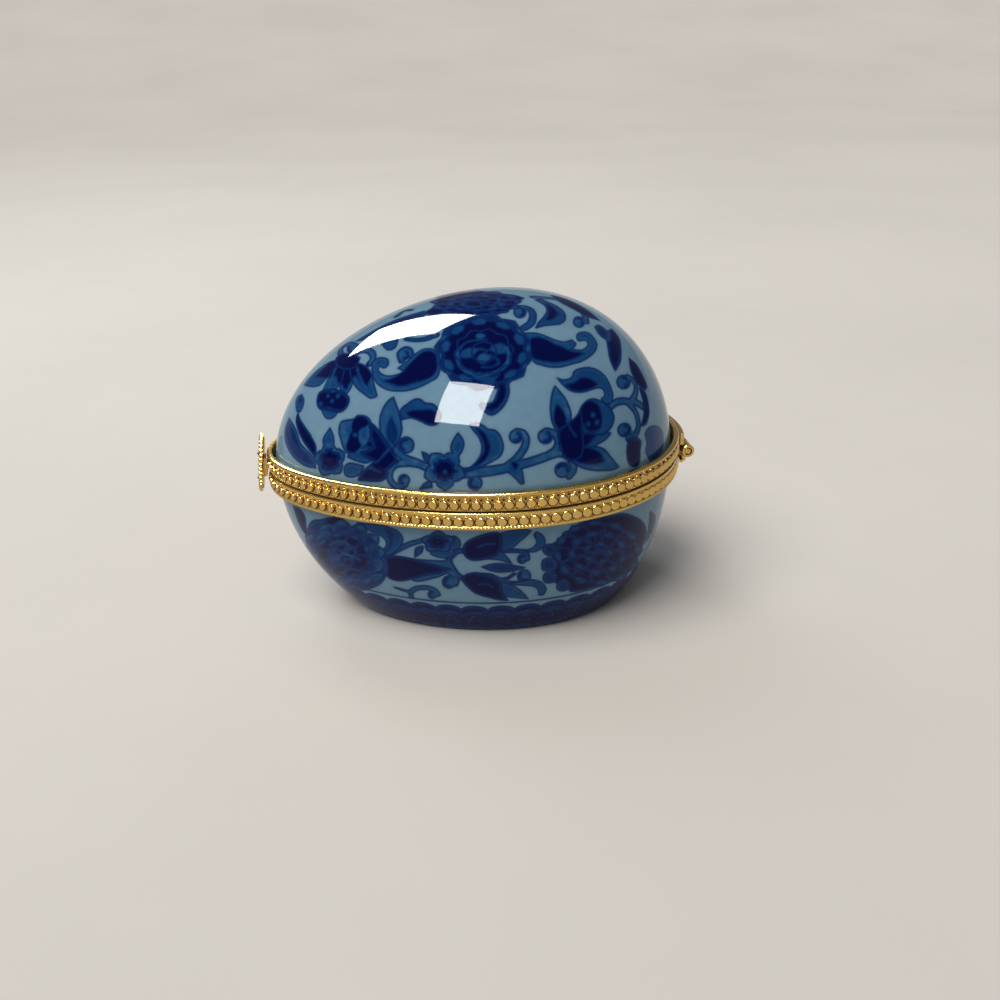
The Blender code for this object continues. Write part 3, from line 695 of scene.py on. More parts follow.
def inside_outline(places, starts, ends):
    """True where a place lies within a closed outline."""
    x, y = places[:, :1], places[:, 1:]
    x0, y0 = starts[:, 0], starts[:, 1]
    x1, y1 = ends[:, 0], ends[:, 1]
    spans = (y0 > y) != (y1 > y)
    rise = np.where(y1 == y0, 1e-12, y1 - y0)
    crosses = spans & (x < x0 + (y - y0) * (x1 - x0) / rise)
    return crosses.sum(1) % 2 == 1


class Painter:
    """Signed distances, in mm, and tones of the painted scroll at the points of one porcelain surface."""

    def __init__(self, points, upper):
        self.points = points / MM
        self.normals = egg_normals(points)
        self.upper = upper
        self.fields = np.full((LAYERS, len(points)), FAR_FIELD)
        self.tone = np.zeros(len(points))

    def near(self, centre, reach):
        """Points within a distance of a place."""
        gap = self.points - centre
        return np.flatnonzero((gap**2).sum(1) < reach * reach)

    def lay(self, layer, which, distance, tone):
        """Adds one shape to its layer."""
        self.fields[layer, which] = np.minimum(self.fields[layer, which], distance)
        covered = distance < COVER
        self.tone[which[covered]] = tone[covered]

    def tint(self, which, distance, tone):
        """Changes only the tone, with a soft edge."""
        share = np.clip(0.5 - distance / TINT_EDGE, 0, 1)
        self.tone[which] += (tone - self.tone[which]) * share

    def covered(self, line):
        """Points near a closed outline on the surface, and their signed distances to it."""
        centre = line.mean(0)
        which = self.near(centre, np.linalg.norm(line - centre, axis=1).max() + FAR_FIELD)
        up = egg_normals(on_surface(centre * MM)[None])[0]
        which = which[self.normals[which] @ up > FACING]
        steep = abs(up[2]) > 0.9
        first = np.cross(up, [0, 1.0, 0] if steep else [0, 0, 1.0])
        first /= np.linalg.norm(first)
        axes = np.stack([first, np.cross(up, first)], 1)
        flat = (line - centre) @ axes
        places = (self.points[which] - centre) @ axes
        ends = np.roll(flat, -1, 0)
        distance = segment_distances(places, flat, ends)[0].min(1)
        return which, np.where(inside_outline(places, flat, ends), -distance, distance)

    def stroke(self, line, first_width, last_width):
        """Points near a line on the surface, run by run, with their distances to a stroke along it."""
        steps = np.linalg.norm(np.diff(line, axis=0), axis=1)
        along = np.concatenate([[0], np.cumsum(steps)])
        half = (first_width + (last_width - first_width) * along / along[-1]) / 2
        for k in range(0, len(line) - 1, STROKE_RUN):
            part = line[k:k + STROKE_RUN + 1]
            wide = half[k:k + STROKE_RUN + 1]
            centre = part.mean(0)
            span = np.linalg.norm(part - centre, axis=1).max()
            which = self.near(centre, span + FAR_FIELD + half.max())
            if len(which):
                gaps, share = segment_distances(self.points[which], part[:-1], part[1:])
                yield which, (gaps - (wide[:-1] + (wide[1:] - wide[:-1]) * share)).min(1)

    def leaf(self, layer, edge, core, line):
        """A closed outline filled from its edge tone to its core tone."""
        which, distance = self.covered(line)
        share = np.clip((-distance - LEAF_RIM) / LEAF_SOFTNESS, 0, 1)
        self.lay(layer, which, distance, edge + (core - edge) * share * share * (3 - 2 * share))

    def band(self, layer, tone, first_width, last_width, line):
        """A stroke that has its own outline."""
        for which, distance in self.stroke(line, first_width, last_width):
            self.lay(layer, which, distance, np.full(len(which), tone))

    def patch(self, tone, line):
        """A closed outline that changes only the tone."""
        self.tint(*self.covered(line), tone)

    def vein(self, tone, width, line):
        """A line that changes only the tone."""
        for which, distance in self.stroke(line, width, width):
            self.tint(which, distance, tone)

    def both_sides(self, draw, line, *settings):
        """Draws on the front, and mirrored on the back unless the shape lies along the top."""
        draw(*settings, line)
        if line[:, 1].mean() < TOP_MIDDLE or not self.upper:
            draw(*settings, line * (1, -1, 1))


def on_surface(point):
    """The point of the egg's surface in the direction of a place, as seen from the egg's middle."""
    unit = unit_from_egg(point)
    return egg_from_unit(unit / np.linalg.norm(unit))


def oval(across, up, radius):
    """A round outline in the photograph's frame."""
    sweep = np.linspace(0, 2 * pi, 15)[:-1]
    return np.stack([across + radius * np.cos(sweep), up - radius * np.sin(sweep)], 1)


def petal(start, end, half, turn):
    """A pointed petal of a rosette of radius 1, from its base round the tip and back."""
    width = half * PETAL_WIDTHS
    radial = start + (end - start) * np.concatenate([PETAL_SHARES, PETAL_SHARES[-2::-1]])
    side = np.concatenate([width, -width[-2::-1]])
    return np.stack([radial * cos(turn) - side * sin(turn), -radial * sin(turn) - side * cos(turn)], 1)


def paint_scroll(painter, leaves, bands, curls, rosettes, patches, veins, spots):
    """Paints one half of the egg, lowest layer first and the changes of tone last."""
    jobs = []
    for layer, tone, first, last, points in bands.values():
        jobs.append((layer, painter.band, smooth_path(points, False), (layer, tone, first, last)))
    for layer, across, up, radius, notch_across, notch_up in curls.values():
        jobs.append((layer, painter.leaf, oval(across, up, radius), (layer, WASH, WASH)))
        toward = np.arctan2(notch_up - up, notch_across - across) + HOOK_SWEEP
        hook = np.stack([np.cos(toward), np.sin(toward)], 1) * HOOK_REACH * radius + (across, up)
        jobs.append((LAYERS + 1, painter.vein, hook, (NAVY, HOOK_WIDTH)))
    for layer, edge, core, points in leaves.values():
        jobs.append((layer, painter.leaf, smooth_path(points, True), (layer, edge, core)))
    for across, up, wide, tall, turn, rings in rosettes.values():
        for layer, count, start, end, half, edge, core, tip in rings:
            for k in range(count):
                angle = radians(turn) + 2 * pi * (k + (layer or 0) % 2 / 2) / count
                outline = petal(start, end, half, angle) * (wide, tall) + (across, up)
                if layer is None:
                    jobs.append((LAYERS + 1, painter.vein, outline[PETAL_SIDES], (edge, RING_VEIN)))
                    continue
                jobs.append((layer, painter.leaf, outline, (layer, edge, core)))
                tip_start = start + (end - start) * TIP_START
                light = petal(tip_start, end - TIP_MARGIN, half * TIP_WIDTH, angle)
                jobs.append((LAYERS, painter.patch, light * (wide, tall) + (across, up), (tip,)))
    for tone, points in patches:
        jobs.append((LAYERS, painter.patch, smooth_path(points, True), (tone,)))
    for tone, width, points in veins:
        jobs.append((LAYERS + 1, painter.vein, smooth_path(points, False), (tone, width)))
    for across, up, radius in spots:
        jobs.append((LAYERS + 2, painter.patch, oval(across, up, radius), (SPOT_TONE,)))
    for layer, draw, line, settings in sorted(jobs, key=lambda job: job[0]):
        painter.both_sides(draw, on_egg(line) / MM, *settings)


def paint_border(painter):
    """The thin line and the scalloped border round the bowl's foot."""
    height = painter.points[:, 2]
    wall = np.flatnonzero((height < BORDER_LINE_HEIGHT + FAR_FIELD) & (height > BORDER_START))
    level = height[wall]
    slant = np.sqrt(1 - painter.normals[wall, 2] ** 2)
    line = np.abs(level - BORDER_LINE_HEIGHT) / slant - BORDER_LINE_WIDTH / 2
    painter.lay(0, wall, line, np.full(len(wall), MID))

    def direction(points):
        return np.arctan2(points[:, 1] / EGG_WIDTH, points[:, 0] / EGG_LENGTH) % (2 * pi)

    shares = np.linspace(0, 1, 721)
    turns = direction(outline_places(shares * 0.9999)[0])
    phase = np.interp(direction(painter.points[wall]), turns, shares) * ARCH_COUNT + ARCH_PHASE
    across = 2 * np.abs(phase - np.round(phase))
    hump = np.sqrt(1 - ARCH_ROUNDNESS * across**2)
    arch = (level - ARCH_VALLEY - ARCH_RISE * hump) / slant * ARCH_STEEPNESS
    painter.lay(1, wall, arch, np.full(len(wall), DEEP))
    for drop, span, tone, width in BORDER_ARCS:
        inner = ARCH_VALLEY - drop + ARCH_RISE * np.sqrt(1 - np.minimum(across / span, 1) ** 2)
        beyond = np.maximum(across - span, 0) * ARCH_HALF_PITCH
        painter.tint(wall, np.maximum(np.abs(level - inner) / slant, beyond) - width / 2, tone)


SHARP_ANGLE = radians(40)


class MeshParts:
    """Collects vertices, faces and a darkness of grime and painted shade for each vertex of one piece."""

    def __init__(self):
        self.points = []
        self.faces = []
        self.grime_and_shade = []
        self.count = 0

    def add(self, points, faces, grime_and_shade=0.0):
        """Adds a patch; its darkness from grime and painted shade is one value or one for each point."""
        points = np.asarray(points, float)
        self.points.append(points)
        self.faces += [tuple(int(k) + self.count for k in face) for face in faces]
        self.grime_and_shade.append(np.broadcast_to(np.asarray(grime_and_shade, float), len(points)).copy())
        self.count += len(points)

    def build(self, name, materials):
        """Makes the object in the scene."""
        mesh = bpy.data.meshes.new(name)
        mesh.from_pydata(np.concatenate(self.points).tolist(), [], self.faces)
        add_attribute(mesh, "grime_and_shade", np.concatenate(self.grime_and_shade))
        for material in materials:
            mesh.materials.append(material)
        mesh.validate()
        mesh.shade_smooth()
        mesh.set_sharp_from_angle(angle=SHARP_ANGLE)
        item = bpy.data.objects.new(name, mesh)
        bpy.context.scene.collection.objects.link(item)
        return item


def add_attribute(mesh, name, values):
    """Writes one number for each vertex."""
    attribute = mesh.attributes.new(name, "FLOAT", "POINT")
    attribute.data.foreach_set("value", np.asarray(values, np.float32))


def turned_patch(profile, place, axis, sides):
    """A turned solid: its profile holds radius and height pairs, from the base's middle to the top's."""
    axis = Vector(axis).normalized()
    first = axis.orthogonal().normalized()
    second = axis.cross(first)
    rings = profile[1:-1]
    angles = 2 * pi * np.arange(sides) / sides
    spin = np.cos(angles)[:, None] * np.array(first) + np.sin(angles)[:, None] * np.array(second)
    points = [np.array(place) + np.array(axis) * profile[0][1]]
    for radius, height in rings:
        points.extend(np.array(place) + np.array(axis) * height + radius * spin)
    points.append(np.array(place) + np.array(axis) * profile[-1][1])
    faces = []
    for k in range(sides):
        after = (k + 1) % sides
        faces.append((0, 1 + after, 1 + k))
        for ring in range(len(rings) - 1):
            low = 1 + ring * sides
            faces.append((low + k, low + after, low + sides + after, low + sides + k))
        top = 1 + (len(rings) - 1) * sides
        faces.append((top + k, top + after, len(points) - 1))
    return np.array(points), faces


def dome_profile(radius, height, depth, rings=5, fullness=1.0):
    """A low round button that reaches a little into its ground; a fullness below 1 squares it."""
    profile = [(0, -depth), (radius, -depth)]
    for k in range(rings):
        turn = pi / 2 * k / rings
        profile.append((radius * cos(turn) ** fullness, height * sin(turn) ** fullness))
    profile.append((0, height))
    return profile


def swept_band(section, steps, ripple=None):
    """A section carried round the egg's outline, with its grime and painted shade; ripple moves chosen
    points.
    """
    share = np.arange(steps) / steps
    place, direction = outline_places(share)
    section = np.asarray(section, float)
    rings = []
    for k, (outward, upward, _) in enumerate(section):
        reach = np.full(steps, outward)
        if ripple is not None:
            reach = reach + ripple(k, share)
        flat = place + direction * reach[:, None]
        rings.append(np.concatenate([flat, np.full((steps, 1), SEAM + upward)], 1))
    points = np.stack(rings, 1).reshape(-1, 3)
    count = len(section)
    faces = []
    for i in range(steps):
        for k in range(count):
            a = i * count + k
            b = i * count + (k + 1) % count
            c = (i + 1) % steps * count
            faces.append((a, c + k, c + (k + 1) % count, b))
    return points, faces, np.tile(section[:, 2], steps)


def arc(across, up, radius, start, end, steps):
    """Clean points of a section along an arc, by angles in degrees."""
    turns = np.radians(np.linspace(start, end, steps + 1))
    return [(across + radius * cos(t), up + radius * sin(t), 0.0) for t in turns]


# Beaded rims, in metres from the porcelain's outline and from the parting plane
RIM_GROUND = RIM_REACH - 0.0002
RIM_GAP = 0.0004
EDGE_BEVEL = 0.00012
FLANGE = 0.0008
FLANGE_BEVEL = 0.0001
LID_DISC_HEIGHT = 0.00126
LID_DISC_RADIUS = 0.00076
BOWL_DISC_HEIGHT = 0.00160
BOWL_DISC_RADIUS = 0.00080
LIP_RADIUS = 0.00040
LIP_RISE = 0.00030
LIP_BACK_RADIUS = 0.00020
STRIP_HEIGHT = 0.00068
STRIP_RELIEF = 0.0001
STRIP_STEP = 0.00006
FOOT_HEIGHT = 0.00055
FOOT_COVE = 0.00008
DISC_RELIEF = 0.00025
DISC_TILT = radians(16)
DISC_LIFT = 0.06
DISC_FULLNESS = 0.42
DISC_SIDES = 20
# Dark ring behind each disc, larger than it: a painted shadow round its foot
CRESCENT_SIZE = 1.14
CRESCENT_RELIEF = 0.00005
CRESCENT_DROP = 0.00008
GRAIN_RADIUS = 0.00012
GRAIN_HEIGHTS = (0.00034, 0.00056)
DOT_RADIUS = 0.00022
DOT_HEIGHT = 0.00220
DOT_DROP = 0.00010
DOT_RELIEF = 0.8
DOT_DEPTH = 0.3
MILL_RELIEF = 0.00014
PATH_STEPS = 480

# Grime and painted shade, from 0 on bright gilt to 1 on the darkest faces; creases, the lip's undercut,
# the seam, the foot's lower edge and hidden faces carry painted shade, the ground and the foot's cove
# grime and painted shade
BRIGHT = 0.0
RUBBED = 0.1
SEAM_SHADE = 0.25
GROUND_GRIME_AND_SHADE = 0.28
FOOT_GRIME_AND_SHADE = 0.3
CREASE_SHADE = 0.35
FOOT_EDGE_SHADE = 0.4
UNDERCUT_SHADE = 0.5
SEAM_EDGE_SHADE = 0.6
# Darkest: hidden faces in the gaps, shadow rings and dark dots, all painted shade; also the clasp's dark
# studs
DARK = 1.0


def lid_band_section():
    """Flange, straight wall and rolled lip: outward and upward distances and darkness, with painted shade
    on the seam edge, in the creases, under the lip and on the hidden flange faces.
    """
    top = RIM_HEIGHT + LIP_RISE
    lip = top - LIP_RADIUS
    return [
        (-WALL, SEAM_HALF_GAP, SEAM_SHADE),
        (RIM_GROUND - EDGE_BEVEL, SEAM_HALF_GAP, SEAM_EDGE_SHADE),
        (RIM_GROUND, SEAM_HALF_GAP + EDGE_BEVEL, RUBBED),
        (RIM_GROUND, LID_DISC_HEIGHT - LID_DISC_RADIUS, CREASE_SHADE),
        (RIM_GROUND, LID_DISC_HEIGHT - LID_DISC_RADIUS / 2, GROUND_GRIME_AND_SHADE),
        (RIM_GROUND, LID_DISC_HEIGHT + LID_DISC_RADIUS / 2, GROUND_GRIME_AND_SHADE),
        (RIM_GROUND, DOT_HEIGHT + DOT_RADIUS, CREASE_SHADE),
        (RIM_GROUND, lip - LIP_RADIUS, RUBBED),
        (RIM_GROUND, lip - LIP_RADIUS * 0.9, UNDERCUT_SHADE),
        *arc(RIM_GROUND - EDGE_BEVEL, lip, LIP_RADIUS, -60, 90, 10),
        *arc(RIM_GAP + LIP_BACK_RADIUS, top - LIP_BACK_RADIUS, LIP_BACK_RADIUS, 90, 180, 4),
        # Hidden faces of the flange: painted shade in the gap
        (RIM_GAP, SEAM_HALF_GAP + FLANGE + FLANGE_BEVEL, DARK),
        (RIM_GAP - FLANGE_BEVEL, SEAM_HALF_GAP + FLANGE, DARK),
        (-WALL, SEAM_HALF_GAP + FLANGE, DARK),
    ]


def bowl_band_section():
    """Flange, plain strip, straight wall and foot, from the parting plane down, with darkness: painted
    shade at the seam edge, on the foot's lower edge and on the hidden faces, grime and painted shade on
    the ground and in the cove.
    """
    foot = RIM_HEIGHT - FOOT_HEIGHT
    return [
        (-WALL, -SEAM_HALF_GAP, SEAM_SHADE),
        (RIM_GROUND + 0.00002, -SEAM_HALF_GAP, SEAM_EDGE_SHADE),
        *arc(RIM_GROUND, -SEAM_HALF_GAP - STRIP_RELIEF, STRIP_RELIEF, 90, 0, 3),
        (RIM_GROUND + STRIP_RELIEF, -STRIP_HEIGHT, BRIGHT),
        (RIM_GROUND, -STRIP_HEIGHT - STRIP_STEP, GROUND_GRIME_AND_SHADE),
        (RIM_GROUND, -BOWL_DISC_HEIGHT - BOWL_DISC_RADIUS / 2, GROUND_GRIME_AND_SHADE),
        (RIM_GROUND, -foot + FOOT_COVE, FOOT_GRIME_AND_SHADE),
        (RIM_REACH - MILL_RELIEF, -foot, FOOT_GRIME_AND_SHADE),
        (RIM_REACH, -foot - 0.00010, BRIGHT),
        (RIM_REACH, -RIM_HEIGHT + EDGE_BEVEL, BRIGHT),
        (RIM_REACH - MILL_RELIEF, -RIM_HEIGHT, FOOT_EDGE_SHADE),
        # Hidden faces of the flange: painted shade in the gap
        (RIM_GAP, -RIM_HEIGHT, DARK),
        (RIM_GAP, -SEAM_HALF_GAP - FLANGE, DARK),
        (-WALL, -SEAM_HALF_GAP - FLANGE, DARK),
    ]


def add_discs(parts, count, height, radius, phase):
    """A row of low tilted buttons round the rim, each with a dark ring at its foot as a painted shadow.
    """
    share = (np.arange(count) + phase) / count
    places, outward = outline_places(share, RIM_GROUND)
    shadow = dome_profile(radius * CRESCENT_SIZE, CRESCENT_RELIEF, CRESCENT_RELIEF, 2)
    disc = dome_profile(radius, DISC_RELIEF, radius * DISC_TILT, 6, DISC_FULLNESS)
    for (x, y), (nx, ny) in zip(places, outward):
        lean = Vector((nx, ny, 0)) + DISC_TILT * Vector((ny, -nx, 0)) + Vector((0, 0, DISC_LIFT))
        # Painted shadow: a dark flat ring behind the disc
        parts.add(*turned_patch(shadow, (x, y, height - CRESCENT_DROP), (nx, ny, 0), DISC_SIDES), DARK)
        parts.add(*turned_patch(disc, (x, y, height), lean, DISC_SIDES))


def add_dots(parts, count, height, radius, phase, grime_and_shade, sides=10):
    """A row of small round dots round the rim."""
    share = (np.arange(count) + phase) / count
    places, outward = outline_places(share, RIM_GROUND)
    profile = dome_profile(radius, radius * DOT_RELIEF, radius * DOT_DEPTH, sides // 3)
    for (x, y), (nx, ny) in zip(places, outward):
        parts.add(*turned_patch(profile, (x, y, height), (nx, ny, 0), sides), grime_and_shade)


def box_patch(low, high, bevel):
    """A box with bevelled edges, as points and faces."""
    bm = bmesh.new()
    bmesh.ops.create_cube(bm, size=1.0)
    size = Vector(high) - Vector(low)
    centre = (Vector(high) + Vector(low)) / 2
    bm.transform(Matrix.Translation(centre) @ Matrix.Diagonal((*size, 1.0)))
    bmesh.ops.bevel(bm, geom=bm.edges[:], offset=bevel, segments=2, affect="EDGES", profile=0.7)
    points = [vertex.co[:] for vertex in bm.verts]
    faces = [[vertex.index for vertex in face.verts] for face in bm.faces]
    bm.free()
    return points, faces


def new_group(name, inputs, outputs):
    """A shader node group: inputs have a name, a socket type and a default, outputs a name and a type."""
    group = bpy.data.node_groups.new(name, "ShaderNodeTree")
    for label, kind, default in inputs:
        group.interface.new_socket(label, in_out="INPUT", socket_type=kind).default_value = default
    for label, kind in outputs:
        group.interface.new_socket(label, in_out="OUTPUT", socket_type=kind)
    return group, group.nodes.new("NodeGroupInput"), group.nodes.new("NodeGroupOutput")


def node(tree, kind, inputs=None, **settings):
    """Adds a node, sets its properties and fills or links its inputs."""
    made = tree.nodes.new(kind)
    for name, value in settings.items():
        setattr(made, name, value)
    for key, value in (inputs or {}).items():
        if isinstance(value, bpy.types.NodeSocket):
            tree.links.new(value, made.inputs[key])
        else:
            made.inputs[key].default_value = value
    return made


def math(tree, operation, *values):
    """A math node's result."""
    return node(tree, "ShaderNodeMath", dict(enumerate(values)), operation=operation).outputs[0]


def blend_colour(tree, share, under, over):
    """A colour mix's result."""
    return node(tree, "ShaderNodeMix", {0: share, 6: under, 7: over}, data_type="RGBA").outputs[2]


def ramp(tree, value, low, high):
    """Smooth step from 0 at low to 1 at high."""
    inputs = {"Value": value, "From Min": low, "From Max": high}
    return node(tree, "ShaderNodeMapRange", inputs, interpolation_type="SMOOTHSTEP").outputs["Result"]


def brushed_layer_group():
    """One painted layer: a filled shape with a darker line along its edge."""
    group, into, out = new_group(
        "brushed_layer",
        [("Under", "NodeSocketColor", (0.3, 0.4, 0.5, 1)),
         ("Distance", "NodeSocketFloat", 1.0),
         ("Fill", "NodeSocketColor", (0.1, 0.2, 0.5, 1)),
         ("Line", "NodeSocketColor", (0.02, 0.05, 0.2, 1)),
         ("Line Width", "NodeSocketFloat", 0.14),
         ("Line Strength", "NodeSocketFloat", 0.8)],
        [("Color", "NodeSocketColor")])
    distance = into.outputs["Distance"]
    fill = ramp(group, distance, 0.09, -0.09)
    filled = blend_colour(group, fill, into.outputs["Under"], into.outputs["Fill"])
    away = math(group, "ABSOLUTE", distance)
    wide = math(group, "ADD", into.outputs["Line Width"], 0.13)
    thin = math(group, "SUBTRACT", into.outputs["Line Width"], 0.09)
    line = math(group, "MULTIPLY", ramp(group, away, wide, thin), into.outputs["Line Strength"])
    group.links.new(blend_colour(group, line, filled, into.outputs["Line"]), out.inputs["Color"])
    return group


def mottle_group():
    """Uneven density at two scales, centred on 0.5."""
    group, into, out = new_group(
        "mottle",
        [("Fine Scale", "NodeSocketFloat", 900.0), ("Broad Scale", "NodeSocketFloat", 150.0),
         ("Broad Share", "NodeSocketFloat", 0.5)],
        [("Value", "NodeSocketFloat")])
    place = group.nodes.new("ShaderNodeTexCoord").outputs["Object"]
    noises = []
    for label, detail in (("Fine Scale", 3.0), ("Broad Scale", 2.0)):
        inputs = {"Vector": place, "Scale": into.outputs[label], "Detail": detail}
        noises.append(node(group, "ShaderNodeTexNoise", inputs).outputs[0])
    mixed = node(group, "ShaderNodeMix", {0: into.outputs["Broad Share"], 2: noises[0], 3: noises[1]})
    group.links.new(mixed.outputs[0], out.inputs["Value"])
    return group


def named_group(name, maker):
    """A node group that is built once."""
    return bpy.data.node_groups.get(name) or maker()


def mottled(tree, fine, broad, broad_share):
    """The mottle group's value in a material, with its own scales."""
    inputs = {"Fine Scale": fine, "Broad Scale": broad, "Broad Share": broad_share}
    group = named_group("mottle", mottle_group)
    return node(tree, "ShaderNodeGroup", inputs, node_tree=group).outputs["Value"]


def new_material(name):
    """An empty node material and its shader."""
    material = bpy.data.materials.new(name)
    material.use_nodes = True
    return material, material.node_tree, material.node_tree.nodes["Principled BSDF"]


def glaze_shader(tree, shader, paint):
    """Clear glaze over the body: deep gloss with a faint unevenness."""
    mottle = mottled(tree, 1400.0, 160.0, 0.6)
    inputs = {"Strength": paint.glaze_ripple, "Distance": 0.0002, "Height": mottle}
    bump = node(tree, "ShaderNodeBump", inputs)
    tree.links.new(bump.outputs["Normal"], shader.inputs["Normal"])
    rough = node(tree, "ShaderNodeMapRange", {"Value": mottle, "To Min": 0.10, "To Max": 0.24})
    tree.links.new(rough.outputs["Result"], shader.inputs["Roughness"])
    shader.inputs["Coat Weight"].default_value = 1.0
    shader.inputs["Coat Roughness"].default_value = 0.03
    shader.inputs["Coat IOR"].default_value = 1.23
    shader.inputs["IOR"].default_value = 1.5
    shader.inputs["Specular IOR Level"].default_value = 0.0


def painted_porcelain(paint):
    """Blue scroll painted under the glaze on a pale blue-grey ground."""
    material, tree, shader = new_material("painted_porcelain")
    layer_group = named_group("brushed_layer", brushed_layer_group)
    mottle = mottled(tree, 700.0, 190.0, 0.45)
    uneven = math(tree, "SUBTRACT", mottle, 0.5)
    tone = node(tree, "ShaderNodeAttribute", attribute_name="tone").outputs["Fac"]
    tone = math(tree, "ADD", tone, math(tree, "MULTIPLY", uneven, paint.unevenness))
    blues = node(tree, "ShaderNodeValToRGB", {"Fac": tone})
    stops = blues.color_ramp.elements
    stops[0].position = PALE
    stops[0].color = (*paint.pale_colour, 1)
    stops[1].position = DARKEST
    stops[1].color = (*paint.navy_colour, 1)
    between = {WASH: paint.wash_colour, MID: paint.blue_colour, DEEP: paint.deep_colour}
    for position, colour in between.items():
        stops.new(position).color = (*colour, 1)
    ground_share = ramp(tree, mottle, 0.3, 0.7)
    ground = blend_colour(tree, ground_share, (*paint.ground_colour, 1), (*paint.ground_tint, 1))
    wobble = math(tree, "MULTIPLY", uneven, 0.22)
    fields = []
    for layer in range(LAYERS):
        field = node(tree, "ShaderNodeAttribute", attribute_name=f"field_{layer}").outputs["Fac"]
        fields.append(math(tree, "ADD", field, wobble))
    nearest = fields[0]
    for field in fields[1:]:
        nearest = math(tree, "MINIMUM", nearest, field)
    halo = math(tree, "MULTIPLY", ramp(tree, nearest, 0.9, 0.0), paint.halo)
    colour = blend_colour(tree, halo, ground, (*paint.wash_colour, 1))
    for field in fields:
        inputs = {"Under": colour, "Distance": field, "Fill": blues.outputs["Color"],
                  "Line": (*paint.line_colour, 1), "Line Width": paint.line_width,
                  "Line Strength": paint.line_strength}
        colour = node(tree, "ShaderNodeGroup", inputs, node_tree=layer_group).outputs["Color"]
    tree.links.new(colour, shader.inputs["Base Color"])
    glaze_shader(tree, shader, paint)
    return material


def plain_porcelain(paint):
    """Bare glaze of the inside and the edges."""
    material, tree, shader = new_material("plain_porcelain")
    shade = ramp(tree, mottled(tree, 500.0, 90.0, 0.7), 0.35, 0.65)
    colour = blend_colour(tree, shade, (*paint.inside_colour, 1), (*paint.inside_tint, 1))
    tree.links.new(colour, shader.inputs["Base Color"])
    glaze_shader(tree, shader, paint)
    return material


def worn_gilt(brass):
    """Gilt brass: grime and painted shade in the recesses and on hidden faces, a fine stipple, and uneven
    polish.
    """
    material, tree, shader = new_material("worn_gilt")
    mottle = mottled(tree, 2600.0, 420.0, 0.35)
    grime_and_shade = node(tree, "ShaderNodeAttribute", attribute_name="grime_and_shade").outputs["Fac"]
    patchy = math(tree, "MULTIPLY", ramp(tree, mottle, 0.5, 0.75), 0.25)
    # Grime, painted shade and random patches darken the gilt, dull it and make it less metallic
    dirt_and_shade = math(tree, "MINIMUM", math(tree, "ADD", grime_and_shade, patchy), 1.0)
    colour = blend_colour(tree, dirt_and_shade, (*brass.gilt_colour, 1), (*brass.grime_and_shade_colour, 1))
    tree.links.new(colour, shader.inputs["Base Color"])
    rough = node(tree, "ShaderNodeMapRange", {"Value": dirt_and_shade, "To Min": brass.roughness, "To Max": 0.6})
    tree.links.new(rough.outputs["Result"], shader.inputs["Roughness"])
    tree.links.new(math(tree, "SUBTRACT", 1.0, dirt_and_shade), shader.inputs["Metallic"])
    shader.inputs["Specular IOR Level"].default_value = 0.15
    inputs = {"Strength": brass.stipple, "Distance": 0.0001, "Height": mottle}
    bump = node(tree, "ShaderNodeBump", inputs)
    tree.links.new(bump.outputs["Normal"], shader.inputs["Normal"])
    return material


def shared_material(name, maker, settings):
    """A material that is built once."""
    return bpy.data.materials.get(name) or maker(settings)


# Shares of the bowl's grid, from its middle out, that its flat floor and the turn into the wall reach
FLAT_SHARE = 0.20
ROUND_SHARE = 0.24


def disc_grid(count):
    """A square grid bent into a disc: its points' radii and angles, its faces, and its rim's points."""
    side = np.linspace(-1, 1, count)
    a, b = np.meshgrid(side, side, indexing="ij")
    wide = np.abs(a) >= np.abs(b)
    radius = np.where(wide, a, b)
    safe = np.where(radius == 0, 1, radius)
    turn = np.where(wide, pi / 4 * b / safe, pi / 2 - pi / 4 * a / safe)
    x = radius * np.cos(turn)
    y = radius * np.sin(turn)
    index = np.arange(count * count).reshape(count, count)
    faces = np.stack([index[:-1, :-1], index[1:, :-1], index[1:, 1:], index[:-1, 1:]], -1).reshape(-1, 4)
    rim = np.concatenate([index[:-1, 0], index[-1, :-1], index[:0:-1, -1], index[0, :0:-1]])
    return np.hypot(x, y).ravel(), np.arctan2(y, x).ravel(), faces, rim


def polar_at(angle, height, inset):
    """Angle from the pole at which the shell passes through a level, for each direction round it."""
    upper = height > SEAM
    polar = np.full(angle.shape, pi / 2)
    for _ in range(40):
        rise = rise_at(np.sin(polar) * np.cos(angle), upper) - inset
        polar = np.arccos(np.clip(abs(height - SEAM) / rise, -1, 1))
    return polar


def sphere_points(polar, angle, upper, inset):
    """Points of the shell by their angles."""
    z = np.cos(polar) if upper else -np.cos(polar)
    unit = np.stack([np.sin(polar) * np.cos(angle), np.sin(polar) * np.sin(angle), z], -1)
    return egg_from_unit(unit, inset)


def bowl_points(radius, angle, inset, floor, fillet):
    """Points of the bowl's outer or inner face, with a rounded turn into its flat floor."""
    edge = polar_at(angle, BOWL_EDGE, inset)
    corner = polar_at(angle, floor, inset)
    start = corner + fillet / BOWL_DEPTH
    share = np.clip((radius - ROUND_SHARE) / (1 - ROUND_SHARE), 0, 1)
    wall = sphere_points(start + (edge - start) * share, angle, False, inset)
    foot = sphere_points(corner, angle, False, inset)
    foot[:, 2] = floor
    flat = foot.copy()
    flat[:, :2] *= 1 - fillet / np.linalg.norm(foot[:, :2], axis=1, keepdims=True)
    lowest = sphere_points(start, angle, False, inset)
    t = np.clip((ROUND_SHARE - radius) / (ROUND_SHARE - FLAT_SHARE), 0, 1)[:, None]
    turn = (1 - t) ** 2 * lowest + 2 * t * (1 - t) * foot + t**2 * flat
    level = flat.copy()
    level[:, :2] *= np.clip(radius / FLAT_SHARE, 0, 1)[:, None]
    radius = radius[:, None]
    return np.where(radius > ROUND_SHARE, wall, np.where(radius > FLAT_SHARE, turn, level))


